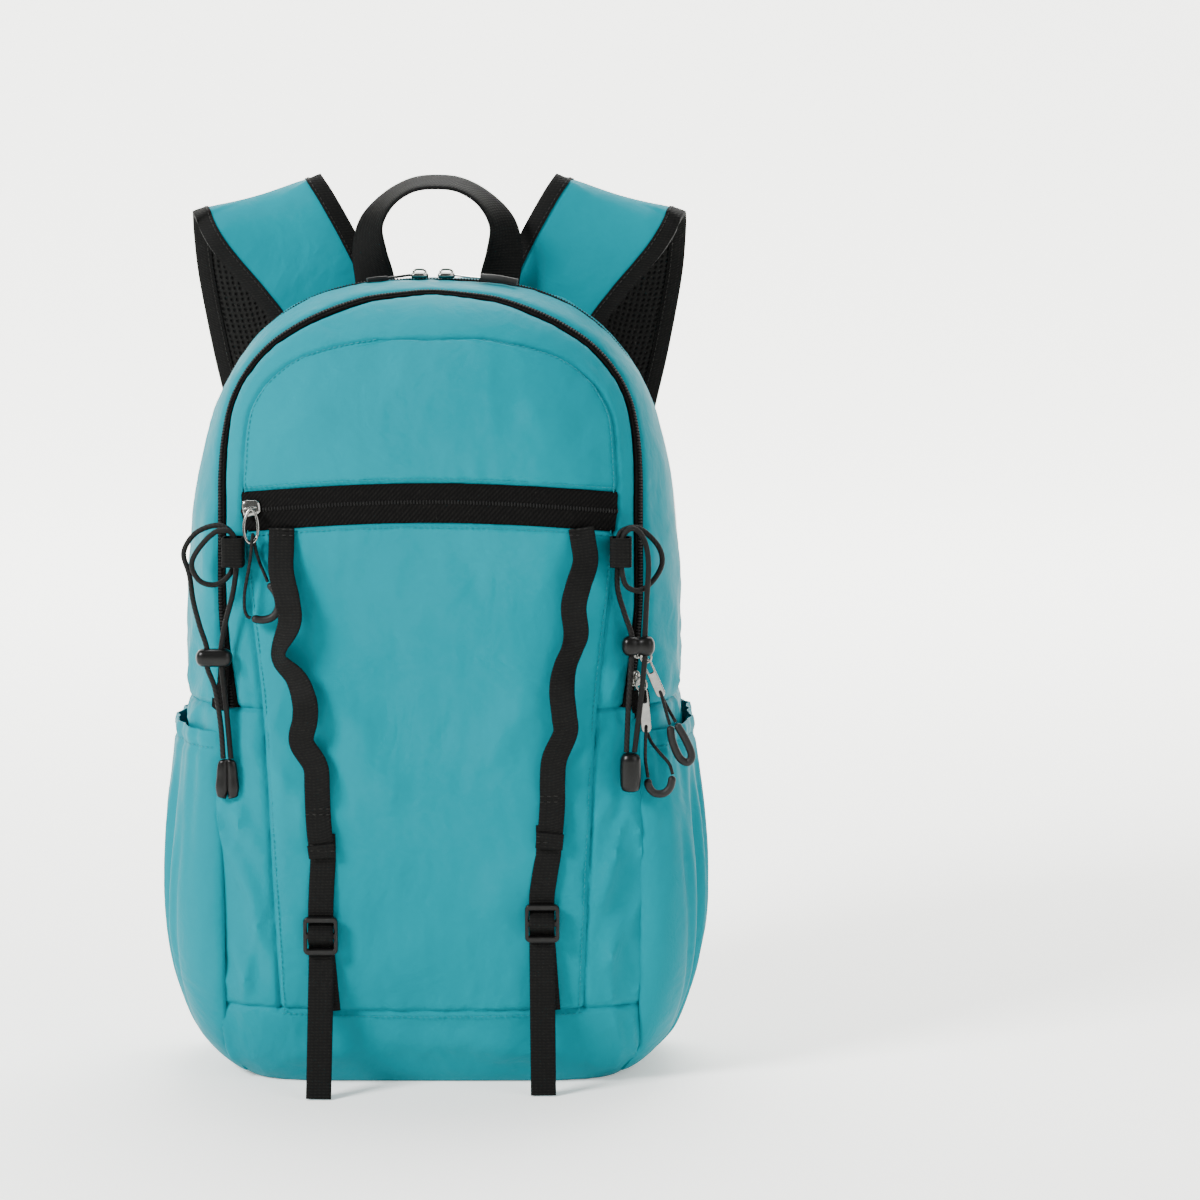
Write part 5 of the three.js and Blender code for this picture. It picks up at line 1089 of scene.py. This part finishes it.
for side, hand in sides:
    places = np.linspace(0, len(strap_rows) - 1, 150)
    sections = strap_sections(hand, places)
    half = sections[3][:, None]
    near = pad_inset + (half * 2 - 2 * pad_inset) * np.linspace(0, 1, 19)
    from_edge = np.where(near <= half, near, near - 2 * half)
    faces = [strap_skin(sections, from_edge, face, -0.25) for face in (1, -1)]
    grid, ways = (np.concatenate([outer, inner[:, ::-1]], 1) for outer, inner in zip(*faces))
    count = grid.shape[1]
    teal_side = np.zeros((len(places), count), dtype=int)
    teal_side[:, count // 2 - 1:] = 1
    pad = surface(f"shoulder_strap_{side}_pad", grid, ways, [teal_nylon, spacer_mesh], wrap=True, capped=True,
                  finish_of=teal_side)
    columns_held = {n for n in range(count) if min(n % (count // 2), (-1 - n) % (count // 2)) < 4}
    held = [i * count + j for i in range(len(places)) for j in range(count)
            if j in columns_held or i < 6 or i > len(places) - 7]
    puffed(pad, held, 4.0, pad_swell, 20)
    dress(pad, "teal_nylon")
    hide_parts(f"shoulder_strap_{side}")
    for edge_name, edge in (("inner", 1), ("outer", -1)):
        over = np.tile(edge * binding_places, (len(places), 1))
        bound = [strap_skin(sections, over, face, 0.55) for face in (1, -1)]
        grid, ways = (np.concatenate([front, rear[:, ::-1]], 1) for front, rear in zip(*bound))
        binding = surface(f"shoulder_strap_{side}_{edge_name}_binding", grid, ways, [webbing], 0.8)
        dress(binding, "webbing")
    rows = [strap_skin(sections, np.full((len(places), 1), edge * (strap_binding - 1.6)), face, 0.75)
            for edge in (1, -1) for face in (1, -1)]
    stitched_rows(f"shoulder_strap_{side}_binding_stitch", [line[:, 0] for line, _ in rows],
                  [way[:, 0] for _, way in rows], black_thread, "webbing")

# Lower strap webbing: it runs from each pad's adjuster down to the back panel's lower corner.
adjuster_z, adjuster_y, adjuster_x = 224.85, back_y + 28, 0.585 * half_width
strap_web_width, strap_foot_x, strap_foot_levels = 20.0, 0.72 * half_width, (82.0, 58.0)
for side, hand in sides:
    at = np.array([adjuster_x, adjuster_y, adjuster_z])
    stations = [at + (0, weave_out * s, -d) for d, s in weave_steps[1:]]
    stations.append((at + (strap_foot_x, back_y, strap_foot_levels[0])) / 2)
    for z in strap_foot_levels:
        point, out = body_surface(strap_foot_x, z, front=False)
        stations.append(point + out * 1.5)
    middle = smooth_line(stations, 130)
    _, out = body_surface(strap_foot_x, sum(strap_foot_levels) / 2, front=False)
    seated = np.array([out[1], -out[0], 0.0])
    share = np.clip((adjuster_z - 40 - middle[:, 2:3]) / 100, 0, 1)
    across = np.array([1.0, 0, 0]) * (1 - share) + seated * share
    flip = [hand, 1, 1]
    band(f"strap_webbing_{side}_band", middle * flip, across * flip, strap_web_width, web_thick, webbing,
         "webbing", f"strap_webbing_{side}")
    ladder_lock(f"strap_adjuster_{side}_frame", strap_web_width, at * flip, f"strap_adjuster_{side}")


# Elastic cords: 3 mm rubber cord in a woven black sleeve, one piece a side. Each runs up from its cord
# end through the lock, loops twice through the webbing tab on the side seam, and comes back down.
sleeve, tree, shader = material("woven_elastic_sleeve", Roughness=0.62, Specular_IOR_Level=0.15)
braid = wave(tree, 1.3, "DIAGONAL")
tinted(tree, shader, combine(tree, "MULTIPLY", braid, mottle(tree, 600.0)), "#040404", "#181715")
bumped(tree, shader, (braid, 0.5, 0.3))


def rounded_end(share, least):
    """Share of the full radius along a rounded end, from its tip at 0 to where it is full at 1."""
    return np.sqrt(np.clip(1 - (1 - np.clip(share, 0, 1)) ** 2, least, 1))


def squircle(steps, power):
    """Places round a circle that is pressed out toward its square, with half sides of 1."""
    turn_round = np.linspace(0, 2 * math.pi, steps, endpoint=False)
    c, s = np.cos(turn_round), np.sin(turn_round)
    return np.sign(c) * np.abs(c) ** power, np.sign(s) * np.abs(s) ** power


def tube(name, route, diameter, finish, slot, steps, around=14, blunt=False, closed=False):
    """A round cord, wire or grip along a route in mm; blunt ends are rounded off."""
    route = np.array(route, dtype=float)
    if closed:
        route = np.concatenate([route, route[:1]])
    line = smooth_line(route, steps)
    way = along_line(line)
    frame_x = np.cross(way[0], [0.31, 0.2, 0.93])
    frame_x /= np.linalg.norm(frame_x)
    sides_x = []
    for w in way:
        frame_x = frame_x - w * np.dot(frame_x, w)
        frame_x /= np.linalg.norm(frame_x)
        sides_x.append(frame_x)
    sides_x = np.array(sides_x)
    sides_y = np.cross(way, sides_x)
    angle = np.linspace(0, 2 * math.pi, around, endpoint=False)
    ring = np.cos(angle)[None, :, None] * sides_x[:, None] + np.sin(angle)[None, :, None] * sides_y[:, None]
    radius = np.full(steps, diameter / 2)
    if blunt:
        done = travelled(line, 0)
        radius *= rounded_end(np.minimum(done, done[-1] - done) / (diameter / 2), 0.02)
    ring = ring * radius[:, None, None]
    piece = surface(name, line[:, None] + ring, ring, [finish], wrap=True, capped=not closed)
    dress(piece, slot)
    return piece, line


tab_fronts = {"left": (-106.6, -74.505, 302.0), "right": (104.4, -74.489, 302.0)}
elastic_routes = {  # places in mm from the middle of the tab's front
    "left": (
        (-7, 7.5, -114.4), (-8, 7.5, -97), (-10.9, 7.5, -76), (-15, 7.5, -64), (-15.2, 7.5, -53),
        (-18.9, 8, -41), (-22.4, 9, -27), (-24.4, 10.5, -13), (-27.4, 11.5, -1), (-20.9, 11.7, 9.5),
        (-9.4, 10.5, 14), (-1.4, 8.9, 10.5), (-0.2, 8.5, 1), (-0.4, 8.3, -9), (-4.9, 6.5, -15.5),
        (-11.4, 5, -18), (-18.9, 4.5, -15), (-22.4, 4.5, -6), (-16.9, 4.5, 4), (-8.4, 4.5, 11.5),
        (-0.4, 4.1, 10.5), (1.8, 4.1, 1), (1.8, 4.1, -9), (-0.4, 5, -23), (-4.4, 6, -38),
        (-7.3, 7.5, -53), (-7.2, 7.5, -64), (-4.9, 7.5, -87), (-2.8, 7.5, -114.4)),
    "right": (
        (3.2, 5, -110.4), (4.2, 5.5, -85), (5.9, 7.5, -58), (5.9, 7.5, -46), (2, 8, -34), (-1.6, 8.2, -21),
        (-1.8, 7.9, -9), (-1.4, 7.9, 1), (0, 8.3, 10.5), (9.6, 10.5, 12.5), (20.1, 12, 3), (22.6, 12, -7),
        (17.6, 11, -16.5), (10.1, 8.5, -21.5), (3, 5.5, -18.5), (0.4, 4.1, -9), (0, 4.1, 1), (2, 4.1, 10),
        (7.1, 4.1, 13), (12.6, 4.7, 7), (15.1, 5.7, -6), (14.2, 6.5, -26), (13.3, 7.5, -46), (13.3, 7.5, -58),
        (10.6, 5.5, -85), (7.6, 5, -110.4))}
lock_forms = {"left": (20, 10, (-11.2, 7.5, -58.5)), "right": (18, 11, (9.6, 7.5, -52))}  # wide, tall, place
end_forms = {"left": (13, 6, 22, (-4.9, 7.5, -114.8)), "right": (11.5, 10, 22, (5.4, 5, -110.8))}
end_shares = {"left": (0.62, 0.8, 0.87, 0.9, 0.96, 1.0, 0.93, 0.82),
              "right": (0.7, 0.95, 0.99, 1, 1, 0.98, 0.93, 0.7)}
end_powers, groove_depths, notch_rises = ({"left": 0.75, "right": 0.9}, {"left": 0.55, "right": 0.0},
                                          {"left": 4.5, "right": 0.0})
elastic_thick, tab_half, tab_wall, cord_room = 3.0, 8, 1.2, 9.4
lobe_dips, tab_reach = {"left": 0.0, "right": 0.16}, {"left": 13.7, "right": 12.6}
for side in ("left", "right"):
    start = np.array(tab_fronts[side])
    route = np.array(elastic_routes[side]) + start
    cord, line = tube(f"elastic_cord_{side}_line", route, elastic_thick, sleeve, "elastic_cord", 420)
    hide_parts(f"elastic_cord_{side}")

    # The tab: a flattened loop of thin webbing, its cut ends sewn into the seam.
    deep = tab_reach[side]
    outline = np.array(rounded_outline(deep, cord_room + 2.6, 2.6, steps=7))
    ring = np.stack([start[0] + outline[:, 1], start[1] + deep / 2 + outline[:, 0]], 1)
    levels = start[2] + tab_half * np.array((-1, -0.9625, -0.75, -0.375, 0, 0.375, 0.75, 0.9625, 1))
    tuck = np.array((0.35, 0, 0, 0, 0, 0, 0, 0, 0.35))
    centre = ring.mean(axis=0)
    away = (ring - centre) / np.linalg.norm(ring - centre, axis=1, keepdims=True)
    grid = np.stack([np.c_[ring - away * t, np.full(len(ring), z)] for z, t in zip(levels, tuck)])
    tab = surface(f"cord_tab_{side}_loop", grid, np.tile(np.c_[away, 0 * away[:, :1]], (len(levels), 1, 1)),
                  [webbing], tab_wall, wrap=True)
    dress(tab, "webbing", f"cord_tab_{side}")

    # The cord lock: a moulded barrel across both runs, oval on the left and of two lobes on the right.
    wide, tall, at = lock_forms[side]
    reach = np.sin(np.linspace(-math.pi / 2, math.pi / 2, 41))
    swell = (1 - np.clip((np.abs(reach) - 0.5) / 0.5, 0, 1) ** 2.6) ** 0.5 * 0.97 + 0.03
    swell = swell * (1 - lobe_dips[side] * np.exp(-(reach * wide / 4.4) ** 2))
    round_y, round_z = squircle(36, 0.8)
    middle = start + at
    grid = middle + np.stack([reach[:, None] * wide / 2 + 0 * round_y, swell[:, None] * round_y * 4.5,
                              swell[:, None] * round_z * tall / 2], -1)
    lock = surface(f"cord_lock_{side}_barrel", grid, grid - middle, [moulded_nylon], wrap=True, capped=True)
    dress(lock, "black_plastic", f"cord_lock_{side}")

    # The cord end: two soft leaves closed over both ends on the left, a glossy barrel on the right.
    wide, thick, tall, at = end_forms[side]
    fall = np.linspace(0, 1, 40)[:, None]
    shares = spline(np.array(end_shares[side]), fall[:, 0] * 7)[:, None] * rounded_end(fall / 0.05, 0.3)
    shares = shares * rounded_end((1 - fall) / 0.07, 0.1)
    round_x, round_y = squircle(44, end_powers[side])
    ring_x, ring_y = round_x * wide / 2, round_y * thick / 2
    groove = 1 - groove_depths[side] * np.exp(-(ring_x / 1.3) ** 2)
    notch = notch_rises[side] * np.exp(-(ring_x / 1.6) ** 2) * fall ** 4
    grid = start + at + np.stack([shares * ring_x, shares * ring_y * groove, notch - fall * tall], -1)
    away = np.stack([ring_x / wide, ring_y / thick, 0 * ring_x], 1)
    end = surface(f"cord_end_{side}_cap", grid, np.tile(away, (40, 1, 1)), [moulded_nylon], wrap=True,
                  capped=True)
    dress(end, "black_plastic", f"cord_end_{side}")


# Zip sliders: die-cast, bright nickel, each with a domed body over the coil and a bail for its pull.
nickel, tree, shader = material("polished_nickel", Metallic=1.0, Roughness=0.2)
tinted(tree, shader, mottle(tree, 300.0, Detail=3.0), "#6C6C69", "#9A9A96")


def slider(name, width, length, place, axes):
    """A slider body from two domes and a bail, with its own length, width and upward directions."""
    along, across, up = (np.array(axis, dtype=float) / np.linalg.norm(axis) for axis in axes)
    climb = np.linspace(-math.pi / 2, math.pi / 2, 15)[:, None]
    round_a, round_w = squircle(30, 0.55)
    ring_a = round_a * length / 2
    ring_w = round_w * width / 2 * (1 - 0.16 * round_a)
    flat_in = np.cos(climb) ** 0.45
    rise = np.sign(np.sin(climb)) * np.abs(np.sin(climb)) ** 0.7 * 1.75 + 0 * ring_a
    grid = place + sum(way * reach[..., None] for way, reach in (
        (along, flat_in * ring_a), (across, flat_in * ring_w), (up, rise)))
    body = surface(name + "_body", grid, grid - place, [nickel], wrap=True, capped=True)
    arch = [place + along * (length * a) + up * h for a, h in (
        (-0.34, 1.2), (-0.33, 2.3), (-0.2, 3.15), (0.02, 3.3), (0.2, 3.1), (0.32, 2.3), (0.34, 1.2))]
    dress(body, "silver_metal", name)
    tube(name + "_bail", arch, 1.3, nickel, "silver_metal", 40, 10)


point, out = body_surface(-95.4, zip_top - 0.69 * zip_drop)
slope = (1, 0, 0.13)
slider("pocket_zip_slider", 9.0, 10.0, point + out * 2.4, (slope, np.cross(out, slope), out))

front_slider_levels = {"upper": 246.0, "lower": 231.0}
for level_name, z in front_slider_levels.items():
    point, out = body_surface(zip_half_at(z), z)
    slider(f"front_zip_slider_{level_name}", 7.0, 9.0, point + out * 2.1,
           ((0, 0, 1), np.cross(out, (0, 0, 1)), out))


def crown_at(x, y):
    """Height of the crown over a place in plan."""
    share = (ridge_y - y) / front_depth
    gauge = (1 - np.clip(share, 0, 1) ** 3) ** (1 / 3)
    return waist + (height - waist) * (gauge ** crown_power
                                       - (np.abs(x) / half_width) ** crown_power) ** (1 / crown_power)


slider_y = ridge_y + main_tape / 2
for side, x in (("left", -8.0), ("right", 7.0)):
    place = np.array([x, slider_y, float(crown_at(x, slider_y)) + 2.25])
    slider(f"main_zip_slider_{side}", 8.0, 10.0, place, ((1, 0, 0), (0, 1, 0), (0, 0, 1)))


# Pulls: a teardrop wire on the pocket slider, flat tags on the front ones and a flat link each on the
# main ones. Three carry a thin cord looped through, closed by a thick C of black rubber.
rubber, tree, shader = material("moulded_black_rubber", Roughness=0.55, Specular_IOR_Level=0.25)
dust = mottle(tree, 420.0, Detail=3.0)
tinted(tree, shader, dust, "#040404", "#0E0E0D")
bumped(tree, shader, (dust, 0.3, 0.15))


def teardrop(radius, stretch, middle, lean):
    """A closed ring drawn out along Z, wider at its foot, leaned about X, in mm."""
    angle = np.linspace(0, 2 * math.pi, 28, endpoint=False)
    x, z = radius * np.cos(angle) * (1 - 0.16 * np.sin(angle)), radius * stretch * np.sin(angle)
    return np.array(middle) + np.stack([x, -z * math.sin(lean), z * math.cos(lean)], 1)


ring, _ = tube("pocket_zip_pull_wire", teardrop(3.8, 2.4, (-96.385, -70.866, 316.39), -0.2), 1.7, nickel,
               "silver_metal", 90, 12, closed=True)
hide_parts("pocket_zip_pull")

for level_name, width, tall, aside, fall, tilt in (
        ("lower", 5.6, 25.0, 3.0, 17.0, 5.2), ("upper", 5.2, 23.0, 5.6, 14.5, 24.1)):
    z = front_slider_levels[level_name]
    point, out = body_surface(zip_half_at(z), z)
    hang = point + out * 6.9
    ring = teardrop(2.8, 1.3, hang + (1.2, -0.4, -2.4), 0.0)
    wire, _ = tube(f"front_zip_pull_{level_name}_ring", ring, 1.4, nickel, "silver_metal", 60, 12,
                   closed=True)
    eye = rounded_outline(width - 2.4, 7.0, 1.2, (0, tall / 2 - 4.7))
    tag = plate(f"front_zip_pull_{level_name}_tag", [rounded_outline(width, tall, 2.4), eye], 1.8, 0.5,
                nickel, hang + (aside, -0.6, -fall), tip=90, turned=-tilt)
    dress(tag, "silver_metal")
    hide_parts(f"front_zip_pull_{level_name}")

for side, link_width, link, grip_width, grip_thick, grip in (
        ("left", 3.2, ((-13.4, 17, 2.6), (-20, 14.5, 2), (-30, 11, 1.6)), 4.6, 2.2,
         ((-26, 12, 1.8), (-31, 10.6, 2), (-37, 9, 1.9))),
        ("right", 3.4, ((12.4, 17, 2.6), (20, 13.5, 2), (29, 9.5, 2)), 5.4, 3.6,
         ((27, 10, 2.6), (36, 7, 2.9), (47, 5, 2.8)))):
    for part_name, rows, width, thick, finish, slot_name in (
            ("link", link, link_width, 1.4, nickel if side == "right" else moulded_nylon,
             "silver_metal" if side == "right" else "black_plastic"),
            ("grip", grip, grip_width, grip_thick, rubber, "black_plastic")):
        rows = np.array([(x, y, crown_at(x, y) + lift) for x, y, lift in rows])
        line = smooth_line(rows, 30)
        nodes = (f"main_zip_pull_{side}",) if part_name == "link" else ()
        band(f"main_zip_pull_{side}_{part_name}", line, (0, 1, 0), width, thick, finish,
             slot_name, *nodes)

pull_routes = {  # places in mm from the ring or slider that each hangs from
    "pocket_pull": ((-96.385, -70.866, 316.39), (
        (-0.5, -2.6, -50), (-2.5, -2.6, -48.8), (-3.9, -2.6, -44.4), (-3.6, -2.6, -35.4), (-1.4, -2.7, -23.4),
        (0.2, -3.9, -13.4), (0.6, -3.9, -7.9), (1, -1.1, -4.4), (1.4, 2.5, -7.9), (2.2, 2.9, -13.4),
        (4.4, 1.3, -20.4), (6.8, -1.1, -25.4), (8.9, -2.4, -30.2)), (
        (9.3, -2.5, -31), (13.4, -2.9, -36.4), (14.8, -3.1, -43.4), (11.8, -2.9, -49), (6.4, -2.7, -51),
        (-0.1, -2.6, -50.2))),
    "lower_pull": ((111.919, -59.825, 231.0), (
        (7.5, -6.2, -54.1), (6.1, -6.6, -44), (6.1, -7.2, -35), (6.4, -7.2, -28.6), (6.5, -4.8, -25.6),
        (6.8, -2.3, -28.4), (9.3, -2.2, -35), (14.1, -3.7, -41), (19.1, -5.5, -46.6), (21.1, -6.2, -52.4)), (
        (7.6, -6.2, -54.8), (7.9, -6.2, -59), (11.1, -6.2, -62.8), (16.1, -6.2, -63), (19.7, -6.2, -59.6),
        (21.1, -6.2, -53.2))),
    "upper_pull": ((114.165, -57.517, 246.0), (
        (17.2, -4.5, -40.2), (15.2, -6.5, -33), (13.2, -7.4, -25.6), (11.9, -4.6, -21.9), (13.3, -1.7, -25.8),
        (16.8, -2.7, -32.6), (20.5, -4.5, -39)), (
        (17.4, -4.5, -41), (18.8, -4.5, -50), (22.8, -4.5, -59), (27.4, -4.5, -61.4), (29.2, -4.5, -57),
        (25.8, -4.5, -48.5), (20.8, -4.5, -39.8)))}
thin_cord, grip_thick = 1.9, 4.4
for name, (start, route, grip_route) in pull_routes.items():
    loop, line = tube(f"{name}_cord_line", np.array(route) + start, thin_cord, sleeve, "thin_cord", 160, 10)
    grip, _ = tube(f"{name}_grip_moulding", np.array(grip_route) + start, grip_thick, rubber, "rubber_grip",
                   90, 16, blunt=True)
    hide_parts(f"{name}_cord")
    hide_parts(f"{name}_grip")
